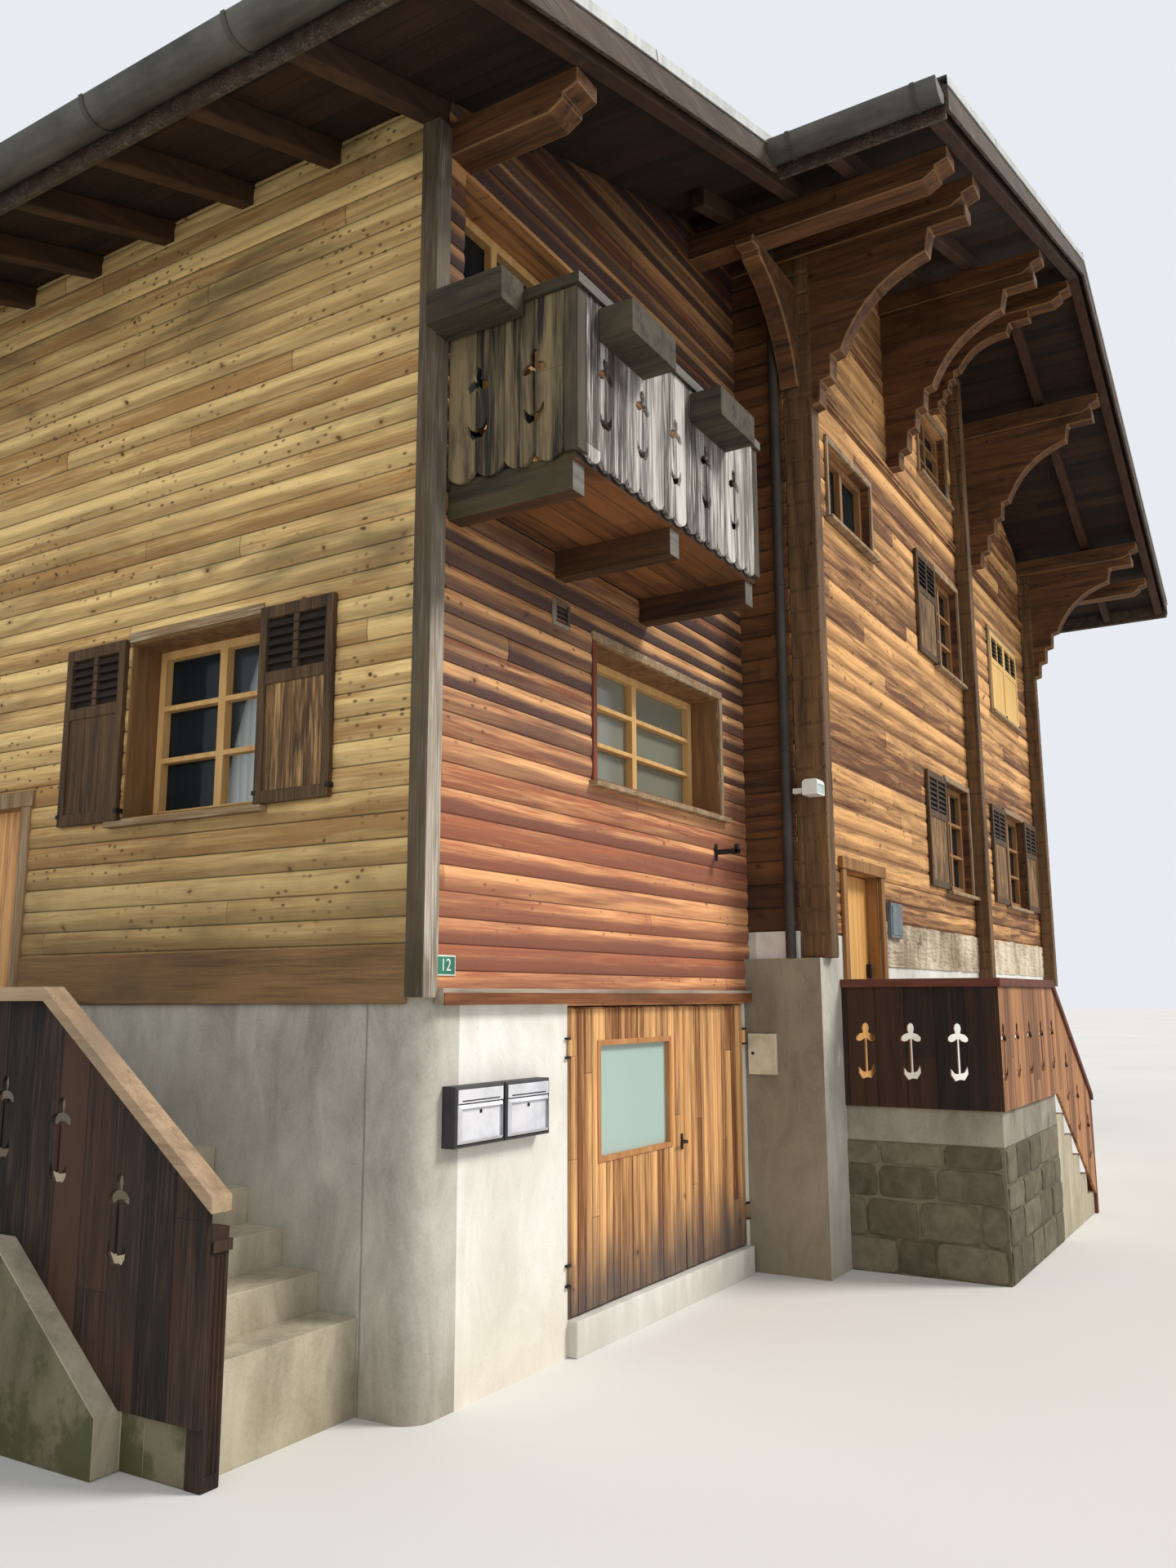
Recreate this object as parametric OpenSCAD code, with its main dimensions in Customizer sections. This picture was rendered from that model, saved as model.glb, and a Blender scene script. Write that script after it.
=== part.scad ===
// Alpine chalet: a low annex and a taller log house under one roof slope.
// Origin: outer corner of the annex in plan, lowest ground in height.
// +X runs along the gable fronts, +Y into the depth, +Z up. Millimetres.

/* [Annex] */
// Width of the annex front, up to the side wall of the main house
annex_w = 3850; // [3700:10:4200]
// Depth of the annex
annex_d = 6600; // [6200:10:7200]
// Height of the masonry under the annex timber, from the lowest ground
annex_base_h = 1925; // [1900:5:2050]
// Thickness of the annex masonry
annex_base_t = 300; // [250:5:320]
// Radius of the rounded masonry corner
corner_r = 130; // [60:5:200]
// Thickness of the annex timber walls
annex_wall_t = 300; // [280:5:320]
// Depth from the annex wall face to its window frames
annex_reveal = 210; // [190:5:220]
// Top of the annex upper floor and of the balcony
annex_upper_z = 4570; // [4500:10:4650]

/* [Main house] */
// Width of the main house
main_w = 8900; // [8700:10:9100]
// Depth of the main house
main_d = 9000; // [8400:10:9600]
// Distance of the main front ahead of the annex front
main_ahead = 420; // [380:5:480]
// Height of the masonry under the main timber
main_base_h = 2400; // [2350:5:2450]
// Height of the concrete pier at the inner corner
pier_h = 2200; // [2150:5:2300]
// Thickness of the main masonry
main_base_t = 350; // [300:5:400]
// Thickness of the log walls
log_t = 160; // [140:5:200]
// Height of one log course
log_pitch = 175; // [150:5:200]
// Depth of the joint between two courses
log_groove = 12; // [6:1:20]
// How far the log ends stand out past a crossing wall
log_end = 150; // [120:5:180]
// How far the log ends stand out at the inner corner
corner_end = 240; // [200:5:260]
// Distance of the middle purlins from the ridge
mid_purlin = 1640; // [1600:10:1700]
// Distance of the partition behind the front from the ridge
partition = 800; // [760:10:840]
// Top of the main ground floor and of the terrace
main_floor_z = 1160; // [1120:5:1200]
// Top of the main first floor
main_upper_z = 4650; // [4600:10:4750]
// Top of the attic floor
attic_z = 7000; // [6900:10:7150]

/* [Roof] */
// Slope of both roof faces in degrees
roof_pitch = 19; // [17:0.5:21]
// Height of the ridge
ridge_z = 9720; // [9650:10:9900]
// Overhang of the annex eave
annex_eave = 1100; // [900:10:1200]
// Overhang of the annex verge
annex_verge = 950; // [900:10:1000]
// Overhang of the left main eave past the side wall
main_eave = 1350; // [1200:10:1500]
// Overhang of the right main eave
right_eave = 1660; // [1500:10:1900]
// Overhang of the main verge past the main front
main_verge = 1700; // [1600:10:1800]
// Overhang of the roof at the back
back_verge = 900; // [700:10:1100]
// Thickness of the roof covering
cover_t = 45; // [30:1:60]
// Thickness of the roof boards
deck_t = 30; // [20:1:40]
// Depth of a rafter
rafter_h = 145; // [120:5:160]
// Width of a rafter
rafter_w = 100; // [80:5:120]
// Spacing of the rafters
rafter_step = 700; // [650:10:750]
// Width and depth of a purlin
purlin = 200; // [180:5:220]
// Width of a console
console_w = 150; // [120:5:160]
// Length of a console
console_l = 1500; // [1450:10:1550]
// Height of a console
console_h = 1640; // [1500:10:1650]
// Radius of the eave gutters
gutter_r = 110; // [90:5:120]

/* [Doors and windows] */
// Left edge of the garage doorway
garage_x = 1310; // [1250:5:1400]
// Width of the garage doorway
garage_w = 2400; // [2350:5:2430]
// Height from the garage doorway up to the top of the annex masonry
garage_head = 50; // [35:5:75]
// Width of the left garage leaf
garage_left_w = 1420; // [1380:5:1480]
// Top of the garage threshold
threshold_z = 190; // [150:5:220]
// Thickness of a door leaf
leaf_t = 45; // [38:1:55]
// Clearance round a moving leaf
leaf_gap = 8; // [6:1:12]
// Left edge of the terrace doorway
tdoor_x = 4850; // [4800:5:4950]
// Width of the terrace doorway
tdoor_w = 880; // [820:5:950]
// Height of the terrace doorway
tdoor_h = 1780; // [1740:5:1850]
// Depth from the wall face to a window frame
reveal = 70; // [50:5:80]
// Thickness of a window frame
frame_t = 55; // [45:1:65]
// Width of a frame bar
bar = 60; // [45:1:70]
// Thickness of the glass
glass_t = 6; // [4:1:8]
// Thickness of a shutter
shutter_t = 30; // [24:1:36]
// Width of a shutter on the annex
annex_leaf = 540; // [500:10:560]
// Width of a shutter on the main front
front_leaf = 690; // [640:10:700]
// Width of a casing board
casing = 45; // [35:1:55]

/* [Balcony] */
// Left edge of the balcony
balcony_x = 120; // [80:5:200]
// Width of the balcony
balcony_w = 2180; // [2100:10:2300]
// How far the balcony stands out
balcony_d = 800; // [760:10:850]
// Height of the balcony rail above its floor
balcony_rail = 930; // [900:10:1000]
// Height of a flower cut-out
motif = 410; // [380:10:430]

/* [Terrace] */
// Width of the terrace
terrace_w = 1850; // [1800:10:2300]
// Depth of the terrace in front of the main wall
terrace_d = 1290; // [1250:10:1400]
// Height of the terrace rail above its floor
terrace_rail = 890; // [850:10:950]
// Thickness of the terrace slab
slab_t = 260; // [220:5:300]
// Depth of a tread of the terrace steps
terrace_going = 290; // [270:5:310]

/* [Stair] */
// Width of the side stair
stair_w = 1000; // [950:10:1100]
// Distance of the first riser behind the annex corner
stair_y = 350; // [300:5:400]
// Height of a riser
riser = 180; // [170:1:190]
// Depth of a tread
going = 250; // [240:1:280]
// Length of the side landing
landing = 3300; // [3000:10:3600]
// Height of the side rail above the nosings
stair_rail = 820; // [780:5:850]
// Width of the kerb along the stair
kerb_w = 140; // [120:5:180]

/* [Hidden] */
$fn = 32;

main_x = annex_w;
main_right = main_x + main_w;
main_front = -main_ahead;
main_back = main_front + main_d;
ridge_x = main_x + main_w / 2;
slope = tan(roof_pitch);
annex_eave_x = -annex_eave;
main_eave_x = main_x - main_eave;
right_eave_x = main_right + right_eave;
verge_y = main_front - main_verge;
back_y = main_back + back_verge;
under_deck = cover_t + deck_t;
under_rafter = under_deck + rafter_h;
floor_t = 150;
first_tread = 440;
stair_treads = 4;
stair_top = first_tread + stair_treads * riser;
side_door_y = 3200;
side_door_w = 900;
side_door_h = 1950;
door_head = main_floor_z + tdoor_h;
partition_x = ridge_x + partition;
garage_top = annex_base_h - garage_head;
// Top of the annex masonry beside the garage doorway, which carries the lintel
lintel_seat = garage_top - 5;
trim_w = 90;
trim_t = 25;
band_t = 60;
pier_w = 350;
pier_out = 85;
pier_d = 180;
fit = 0.3;
garage_y = 0;
garage_right_w = garage_w - garage_left_w - 3 * leaf_gap;
leaf_z = threshold_z + leaf_gap;
leaf_h = garage_top - leaf_gap - leaf_z;
glass_x = 330;
glass_z = 810;
glass_w = 880;
glass_h = 640;
terrace_x = main_x + pier_w;
terrace_y = main_front - terrace_d;
board_t = 25;
step_count = 5;
step_riser = main_floor_z / (step_count + 1);
terrace_right = terrace_x + terrace_w;
steps_end = terrace_right + step_count * terrace_going;
post = 80;
// Side of the balcony beams and the thickness of its floor
beam_w = 110;
beam_h = 160;
deck_boards = 40;
// Sides of a flower box and the thickness of its boards
box_l = 480;
box_d = 200;
box_h = 180;
box_t = 18;
knuckle_h = 90;
knuckle_r = 12;
pin_r = 6;
arm_h = 12;
plate_w = 60;
garage_hinge_left = garage_x + leaf_gap - 4;
garage_hinge_right = garage_x + garage_w - leaf_gap + 4;
garage_hinge_y = garage_y - knuckle_r - 2;
tdoor_hinge_x = tdoor_x + knuckle_r + 2;
tdoor_hinge_y = main_front + log_t + knuckle_r + 2;
tdoor_leaf_z = main_floor_z + leaf_gap;
rail_t = 60;
stair_end = stair_y + stair_treads * going + landing;
// Line of the kerb beside the stair: foot and head, each [distance, height]
kerb_foot = [stair_y + 390, 240];
kerb_head = [stair_y + 1150, stair_top - 300];
newel_w = 94;
newel_h = 1000;
handrail_t = 65;
// Distance between the flower cut-outs
motif_step = 425;
// Lower edges of the things on the walls
letterbox_z = 1210;
meter_z = annex_base_h - 555;
lamp_z = pier_h + 1180;
verge_rafters = [verge_y + 90, verge_y + 790, main_front + log_t / 2];

// Middle lines of the purlins of the main roof, from the left eave to the right
wall_purlin = main_w / 2 - log_t / 2;
eave_purlin = main_w / 2 + 700;
purlin_rows = [for (s = [-eave_purlin, -wall_purlin, -mid_purlin, 0, mid_purlin,
    wall_purlin, eave_purlin]) ridge_x + s];
// Middle line of the wall plate that lies on the left wall of the annex
plate_x = trim_w + fit + purlin / 2;
// Length of the brackets beside the corners, past the outer face of the eave purlins
bracket_l = eave_purlin - main_w / 2 + purlin / 2 + 60;
first_rafter = 50;
barge_h = 200;
fascia_t = 40;
gutter_t = 6;
pipe_r = 38;
purlin_tip = main_front - 1570;
plate_tip = -annex_verge + 120;
// Balcony doorway: left edge, floor height, width, height
balcony_door = [230, annex_upper_z, 1170,
    purlin_top(plate_x) - purlin - 23 - annex_upper_z];
purlin_end = back_y - 150;

// Height of the covering at x
function roof_z(x) = ridge_z - slope * abs(x - ridge_x);
// Top of a purlin centred on x, under the rafters at its lower edge
function purlin_top(x) = roof_z(x + (x < ridge_x ? -1 : 1) * purlin / 2) - under_rafter - fit;
// Top of the side walls, under the purlin that lies on them
wall_plate_z = purlin_top(purlin_rows[1]) - purlin - fit;

// Box from its low corner to its high corner
module block(a, b) {
    translate(a) cube(b - a);
}

// Outline in the XZ plane, drawn from y0 to y1
module slice_y(y0, y1) {
    translate([0, y1, 0]) rotate([90, 0, 0]) linear_extrude(y1 - y0) children();
}

// Sloping layer between two heights under the covering, from x0 to x1
module layer(x0, x1, top, bottom, y0, y1) {
    slice_y(y0, y1) polygon([
        [x0, roof_z(x0) - top], [x1, roof_z(x1) - top],
        [x1, roof_z(x1) - bottom], [x0, roof_z(x0) - bottom]]);
}

// Everything under the rafters, for trimming walls
module under_roof(y0, y1) {
    slice_y(y0, y1) polygon([
        [-annex_eave, 0], [right_eave_x, 0],
        [right_eave_x, roof_z(right_eave_x) - under_rafter - fit],
        [ridge_x, ridge_z - under_rafter - fit],
        [-annex_eave, roof_z(-annex_eave) - under_rafter - fit]]);
}

// Windows: [left edge, sill height, width, height, then the width of the open
// shutter on the left and on the right, where 0 means a casing board]
annex_left_windows = [[1150, 2970, 1120, 1060, annex_leaf, annex_leaf]];
annex_front_windows = [[1620, 3240, 1780, 860, 0, 0]];
annex_back_windows = [[1400, 3000, 1100, 1000, 0, 0]];
closed_window = [main_right - 2250, 5430, 1440, 1010, 0, 0];
attic_window = [ridge_x - 550, ridge_z - 2220, 1100, 800, 0, 0];
front_windows = [[main_x + 970, 5960, 1120, 660, 0, 0],
    [partition_x - 1050, 5410, 960, 1060, front_leaf, 0],
    closed_window,
    [partition_x - 1050, 3020, 960, 1130, front_leaf, 0],
    [main_right - 1990, 3030, 1080, 1130, front_leaf, front_leaf],
    attic_window];
side_windows = [for (y = [1500, 5600]) for (z = [3020, 5410]) [y, z, 1080, 1100, 0, 0]];
back_windows = concat(
    [for (x = [main_x + 1450, main_right - 2750]) for (z = [3020, 5410])
        [x, z, 1080, 1100, 0, 0]],
    [attic_window]);

// Openings for windows in a wall that runs along X, through y0 to y1
module holes_x(list, y0, y1) {
    for (w = list)
        block([w[0], y0, w[1]], [w[0] + w[2], y1, w[1] + w[3]]);
}

// Openings for windows in a wall that runs along Y, through x0 to x1
module holes_y(list, x0, x1) {
    for (w = list)
        block([x0, w[0], w[1]], [x1, w[0] + w[2], w[1] + w[3]]);
}

module annex_base_left() color("gainsboro")
    difference() {
        linear_extrude(annex_base_h) union() {
            translate([corner_r, corner_r]) circle(corner_r);
            translate([0, corner_r]) square([annex_base_t, annex_d - corner_r]);
            translate([corner_r, 0]) square([annex_base_t - corner_r, annex_base_t]);
        }
        block([-1, side_door_y, stair_top],
            [annex_base_t + 1, side_door_y + side_door_w, annex_base_h + 1]);
    }

module annex_base_front() color("gainsboro") {
    block([annex_base_t, 0, 0], [garage_x, annex_base_t, annex_base_h]);
    block([garage_x + garage_w, 0, 0], [annex_w, annex_base_t, lintel_seat]);
}

module annex_base_back() color("gainsboro")
    block([annex_base_t, annex_d - annex_base_t, 0], [annex_w, annex_d, annex_base_h]);

module annex_ground_slab() color("silver")
    block([annex_base_t, annex_base_t, 0],
        [annex_w, annex_d - annex_base_t, threshold_z - leaf_gap]);

module annex_floor() color("tan")
    block([annex_wall_t, annex_wall_t, annex_base_h],
        [annex_w, annex_d - annex_wall_t, annex_base_h + floor_t]);

module annex_upper_floor() color("tan")
    block([annex_wall_t, annex_wall_t, annex_upper_z - floor_t],
        [annex_w, annex_d - annex_wall_t, annex_upper_z]);

// Walls rise between the rafters up to the roof boards, with notches round them
module annex_left_wall() color("burlywood")
    difference() {
        intersection() {
            block([0, annex_wall_t, annex_base_h],
                [annex_wall_t, annex_d - annex_wall_t, ridge_z]);
            layer(-1, annex_wall_t + 1, under_deck + fit, ridge_z, 0, annex_d);
        }
        for (y = rafter_rows(first_rafter))
            layer(-1, annex_wall_t + 1, 0, under_rafter + fit,
                y - rafter_w / 2 - fit, y + rafter_w / 2 + fit);
        block([plate_x - purlin / 2 - fit, 0, purlin_top(plate_x) - purlin - fit],
            [annex_wall_t + 1, annex_d, ridge_z]);
        holes_y(annex_left_windows, -1, annex_wall_t + 1);
        block([-1, side_door_y, 0],
            [annex_wall_t + 1, side_door_y + side_door_w, stair_top + side_door_h]);
    }

module annex_front_wall() color("peru")
    difference() {
        intersection() {
            union() {
                block([0, 0, annex_base_h], [annex_w, annex_wall_t, ridge_z]);
                block([garage_x, 0, lintel_seat], [annex_w, annex_wall_t, annex_base_h + 1]);
            }
            under_roof(-1, annex_wall_t + 1);
        }
        block([garage_x, -1, 0], [garage_x + garage_w, annex_wall_t + 1, garage_top]);
        purlin_notches(-1, annex_wall_t + 1);
        holes_x(annex_front_windows, -1, annex_wall_t + 1);
        block([balcony_door[0], -1, balcony_door[1]],
            [balcony_door[0] + balcony_door[2], annex_wall_t + 1,
                balcony_door[1] + balcony_door[3]]);
    }

module annex_back_wall() color("burlywood")
    difference() {
        intersection() {
            block([0, annex_d - annex_wall_t, annex_base_h], [annex_w, annex_d, ridge_z]);
            under_roof(annex_d - annex_wall_t - 1, annex_d + 1);
        }
        purlin_notches(annex_d - annex_wall_t - 1, annex_d + 1);
        holes_x(annex_back_windows, annex_d - annex_wall_t - 1, annex_d + 1);
    }

// Corner boards and the projecting band over the masonry
module annex_trim() color("dimgray") {
    trim_top = roof_z(-trim_t) - under_rafter - fit;
    difference() {
        block([-trim_t, -trim_t, annex_base_h], [trim_w, trim_w, trim_top]);
        block([-fit, -fit, 0], [trim_w + 1, trim_w + 1, ridge_z]);
    }
    block([trim_w + fit, -band_t, annex_base_h - 35],
        [main_x - pier_out - fit, -fit, annex_base_h + 45]);
}

// Masonry under the main front, with the notch for the terrace doorway
module main_base_front() color("gainsboro")
    difference() {
        block([main_x, main_front, 0], [main_right, main_front + main_base_t, main_base_h]);
        block([tdoor_x, main_front - 1, main_floor_z],
            [tdoor_x + tdoor_w, main_front + main_base_t + 1, main_base_h + 1]);
    }

// Side masonry, and the concrete pier at its front corner
module main_base_left() color("gainsboro") {
    block([main_x, main_front + main_base_t, 0],
        [main_x + main_base_t, main_back - main_base_t, main_base_h]);
    block([main_x - pier_out, main_front - pier_d, 0],
        [main_x + pier_w, main_front - fit, pier_h]);
    block([main_x - pier_out, main_front - pier_d, 0], [main_x - fit, -fit, pier_h]);
}

module main_base_right() color("gainsboro")
    block([main_right - main_base_t, main_front + main_base_t, 0],
        [main_right, main_back - main_base_t, main_base_h]);

module main_base_back() color("gainsboro")
    block([main_x, main_back - main_base_t, 0], [main_right, main_back, main_base_h]);

// Floor slab of the main house between walls of thickness side
module main_slab(z, side) color("tan")
    block([main_x + side, main_front + side, z - floor_t],
        [main_right - side, main_back - side, z]);

module main_ground_floor() main_slab(main_floor_z, main_base_t);
module main_upper_floor() main_slab(main_upper_z, log_t);
module attic_floor() main_slab(attic_z, log_t);

// Section of a log wall of height h: bulged courses, outer face at 0
module log_section(h) {
    n = ceil(h / log_pitch);
    tooth = [[log_groove, 1], [0, 0.88], [0, 0.12]];
    polygon(concat([[log_t, 0], [log_t, n * log_pitch]],
        [for (i = [n - 1:-1:0]) for (p = tooth) [p[0], (i + p[1]) * log_pitch]],
        [[log_groove, 0]]));
}

// Log wall along X from x0 to x1, outer face at y towards -Y, from z0 to z1
module log_wall(x0, x1, y, z0, z1)
    intersection() {
        translate([x0, y, z0]) rotate([90, 0, 90]) linear_extrude(x1 - x0)
            log_section(z1 - z0);
        block([x0, y, z0], [x1, y + log_t, z1]);
    }

// Log wall along X with its outer face at y towards +Y
module log_wall_back(x0, x1, y, z0, z1)
    translate([0, y, 0]) mirror([0, 1, 0]) log_wall(x0, x1, 0, z0, z1);

// Log wall along Y from y0 to y1, outer face at x towards -X
module log_wall_left(y0, y1, x, z0, z1)
    translate([x, 0, 0]) mirror([1, 0, 0]) rotate([0, 0, 90]) log_wall(y0, y1, 0, z0, z1);

// Log wall along Y with its outer face at x towards +X
module log_wall_right(y0, y1, x, z0, z1)
    translate([x, 0, 0]) rotate([0, 0, 90]) log_wall(y0, y1, 0, z0, z1);

// Timber between the corner and the terrace door
module front_wall_left_of_door() color("sienna")
    log_wall(main_x, tdoor_x, main_front, main_base_h, door_head);

// Timber on the other side of the terrace door, up to its head
module front_wall_beside_door() color("sienna")
    log_wall(tdoor_x + tdoor_w, main_right, main_front, main_base_h, door_head);

module front_wall() color("sienna")
    difference() {
        intersection() {
            log_wall(main_x, main_right, main_front, door_head, ridge_z);
            under_roof(main_front - 1, main_front + log_t + 1);
        }
        purlin_notches(main_front - 1, main_front + log_t + 1);
        holes_x(front_windows, main_front - 1, main_front + log_t + 1);
    }

module main_left_wall() color("saddlebrown")
    log_wall_left(main_front + log_t, main_back - log_t, main_x,
        main_base_h, wall_plate_z);

module main_right_wall() color("saddlebrown")
    difference() {
        log_wall_right(main_front + log_t, main_back - log_t, main_right,
            main_base_h, wall_plate_z);
        holes_y(side_windows, main_right - log_t - 1, main_right + 1);
    }

module main_back_wall() color("saddlebrown")
    difference() {
        intersection() {
            log_wall_back(main_x, main_right, main_back, main_base_h, ridge_z);
            under_roof(main_back - log_t - 1, main_back + 1);
        }
        purlin_notches(main_back - log_t - 1, main_back + 1);
        holes_x(back_windows, main_back - log_t - 1, main_back + 1);
    }

// Post-like stacks of log ends where side and partition walls cross the fronts
module log_ends() color("saddlebrown")
    for (x = [main_x, partition_x, main_right - log_t]) {
        corner = x == main_x;
        top = x == partition_x ? roof_z(x + log_t) - under_rafter - fit : wall_plate_z;
        foot = corner ? pier_h : main_base_h - 350;
        log_stack(x, main_front - (corner ? corner_end : log_end), main_front - fit,
            foot + fit, top);
        log_stack(x, main_back + fit, main_back + log_end, main_base_h - 350, top);
    }

// One stack of squared log ends with grooved joints on both sides
module log_stack(x, y0, y1, z0, z1)
    intersection() {
        translate([x, y1, z0]) rotate([90, 0, 0]) linear_extrude(y1 - y0) {
            n = ceil((z1 - z0) / log_pitch);
            for (i = [0:n - 1])
                translate([0, i * log_pitch]) polygon([
                    [log_groove, 0], [log_t - log_groove, 0], [log_t, 0.12 * log_pitch],
                    [log_t, 0.88 * log_pitch], [log_t - log_groove, log_pitch],
                    [log_groove, log_pitch], [0, 0.88 * log_pitch], [0, 0.12 * log_pitch]]);
        }
        block([x, y0, z0], [x + log_t, y1, z1]);
    }

// Points on a shallow arc from p to q that bulges to the left by rise
function bow(p, q, rise, n = 10) = [for (i = [0:n]) let (t = i / n, d = (q - p) / norm(q - p))
    p + t * (q - p) + 4 * rise * t * (1 - t) * [-d[1], d[0]]];

// Outline of a console that grows from the wall at 0 to length l, with its head
// at 0: a foot block, stepped corbels, a shallow arch and the nose under the purlin
function console_outline(l, h) =
    let (foot = 130, nose = 100, spring = 0.33 * l, rise = 0.48 * h, steps = 4,
        dx = (spring - foot) / steps, dz = rise / steps)
    concat([[0, 0], [0, -h], [foot, -h]],
        [for (i = [0:steps - 1]) each [
            [foot + i * dx + 10, -h + (i + 0.75) * dz],
            [foot + (i + 1) * dx, -h + (i + 0.85) * dz]]],
        bow([spring + 20, -h + rise + 20], [0.79 * l, -nose - 0.11 * h], 0.07 * l),
        [[0.79 * l + 30, -nose], [l, -nose], [l, 0]]);

// Console in the YZ plane at x, cut off at the distance start from the wall
module console(x, start, l, h, top)
    intersection() {
        translate([x - console_w / 2, main_front, top]) rotate([90, 0, 90])
            linear_extrude(console_w) mirror([1, 0]) polygon(console_outline(l, h));
        block([x - console_w, main_front - l, 0], [x + console_w, main_front - start - fit, top]);
    }

// Outline of the bracket beside a corner, from the log stack at 0
bracket_outline = concat([[fit, 0], [fit, -840], [45, -840]],
    bow([60, -790], [bracket_l - 120, -110], 130),
    [[bracket_l - 110, -60], [bracket_l, -60], [bracket_l, 0]]);

// Bracket in the plane of the front, to the side -1 or 1 of the stack at x
module side_bracket(x, side, top)
    translate([x, main_front - fit, top]) rotate([90, 0, 0]) linear_extrude(console_w)
        polygon([for (p = bracket_outline) [side * p[0], p[1]]]);

// Carved brackets under the purlins in front of the main gable
module consoles() color("sienna") {
    for (i = [1:5])
        console(purlin_rows[i], i == 1 ? corner_end : i == 5 ? log_end : 0,
            i == 3 ? console_l - 350 : console_l, i == 3 ? console_h - 760 : console_h,
            purlin_top(purlin_rows[i]) - purlin - fit);
    side_bracket(main_x, -1, purlin_top(purlin_rows[0]) - purlin - fit);
    side_bracket(main_right, 1, purlin_top(purlin_rows[6]) - purlin - fit);
}

// Notches where the purlins pass through a wall between y0 and y1
module purlin_notches(y0, y1)
    for (x = concat([plate_x], purlin_rows))
        block([x - purlin / 2 - fit, y0, purlin_top(x) - purlin - fit],
            [x + purlin / 2 + fit, y1, purlin_top(x) + rafter_h]);

// Purlin centred on x with a stepped end at tip
module beam(x, tip)
    translate([x - purlin / 2, 0, purlin_top(x)]) rotate([90, 0, 90]) linear_extrude(purlin)
        polygon([[tip, 0], [tip, -0.45 * purlin], [tip + 90, -0.6 * purlin],
            [tip + 90, -0.75 * purlin], [tip + 180, -purlin], [purlin_end, -purlin],
            [purlin_end, 0]]);

// Long beams under the rafters, and the wall plate of the annex
module purlins() color("sienna") {
    for (x = purlin_rows) beam(x, purlin_tip);
    beam(plate_x, plate_tip);
}

// Middle lines of the rafters from y0 on
function rafter_rows(y0) = [for (y = [y0:rafter_step:back_y - rafter_w]) y];

// One rafter on the left slope from x0 up to the ridge
module rafter_left(x0, y)
    layer(x0, ridge_x - fit, under_deck + fit, under_rafter,
        y - rafter_w / 2, y + rafter_w / 2);

module rafter_right(y)
    layer(ridge_x + fit, right_eave_x - fascia_t, under_deck + fit, under_rafter,
        y - rafter_w / 2, y + rafter_w / 2);

module rafters_left() color("sienna") {
    for (y = verge_rafters) rafter_left(main_eave_x + fascia_t, y);
    for (y = concat([-annex_verge + 90], rafter_rows(first_rafter)))
        rafter_left(annex_eave_x + fascia_t, y);
}

module rafters_right() color("sienna")
    for (y = concat(verge_rafters, rafter_rows(first_rafter))) rafter_right(y);

// A layer of the left slope, cut back where the annex has no overhang
module slope_left(top, bottom)
    difference() {
        layer(annex_eave_x, ridge_x, top, bottom, verge_y, back_y);
        block([annex_eave_x - 1, verge_y - 1, 0], [main_eave_x, -annex_verge, ridge_z]);
    }

module deck_left() color("saddlebrown") slope_left(cover_t, under_deck);
module deck_right() color("saddlebrown")
    layer(ridge_x, right_eave_x, cover_t, under_deck, verge_y, back_y);
module cover_left() color("dimgray") slope_left(0, cover_t);
module cover_right() color("dimgray")
    layer(ridge_x, right_eave_x, 0, cover_t, verge_y, back_y);

// Board along the rafter ends between two distances from the verge
module fascia(x0, x1, y0, y1)
    layer(x0, x1, under_deck + fit, under_rafter + 30, y0, y1);

// Boards along the verges and eaves
module barge_boards() color("saddlebrown") {
    layer(main_eave_x, ridge_x - fit, 10, barge_h, verge_y - board_t, verge_y - fit);
    layer(ridge_x + fit, right_eave_x, 10, barge_h, verge_y - board_t, verge_y - fit);
    layer(annex_eave_x, main_eave_x - fit, 10, barge_h,
        -annex_verge - board_t, -annex_verge - fit);
    layer(annex_eave_x, ridge_x - fit, 10, barge_h, back_y + fit, back_y + board_t);
    layer(ridge_x + fit, right_eave_x, 10, barge_h, back_y + fit, back_y + board_t);
    fascia(annex_eave_x, annex_eave_x + fascia_t - fit, -annex_verge, back_y);
    fascia(main_eave_x, main_eave_x + fascia_t - fit, verge_y, -annex_verge - board_t - fit);
    fascia(right_eave_x - fascia_t + fit, right_eave_x, verge_y, back_y);
}

// Half-round gutter with closed ends along Y, hung on an eave at x
module gutter(x, y0, y1, side) {
    middle = [x + side * (gutter_r + fit), y1, roof_z(x) - 95];
    translate(middle) rotate([90, 0, 0]) difference() {
        linear_extrude(y1 - y0) circle(gutter_r);
        translate([0, 0, gutter_t]) linear_extrude(y1 - y0 - 2 * gutter_t)
            circle(gutter_r - gutter_t);
        translate([-gutter_r - 1, 0, -1]) cube([2 * gutter_r + 2, gutter_r + 1, y1 - y0 + 2]);
    }
}

module gutters() color("slategray") {
    gutter(annex_eave_x, -annex_verge, back_y, -1);
    gutter(main_eave_x, verge_y, -annex_verge - board_t - fit, -1);
    gutter(right_eave_x, verge_y, back_y, 1);
}

// Downpipe at the inner corner, from the pier up under the roof
module downpipe() color("dimgray") {
    x = main_x - pipe_r - 25;
    translate([x, main_front + pipe_r + 10, pier_h + fit])
        cylinder(h = roof_z(x - pipe_r) - under_rafter - pier_h - 2 * fit, r = pipe_r);
}

// Floor boards of the balcony on three beams that stand out of the wall
module balcony_deck() color("peru") {
    top = annex_upper_z - deck_boards;
    for (x = [balcony_x + fit, balcony_x + balcony_w / 2 - beam_w / 2,
        balcony_x + balcony_w - beam_w - fit])
        block([x, -balcony_d + 20, top - beam_h], [x + beam_w, -fit, top - fit]);
    block([balcony_x, -balcony_d, top], [balcony_x + balcony_w, -trim_t - fit, annex_upper_z]);
}

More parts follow.
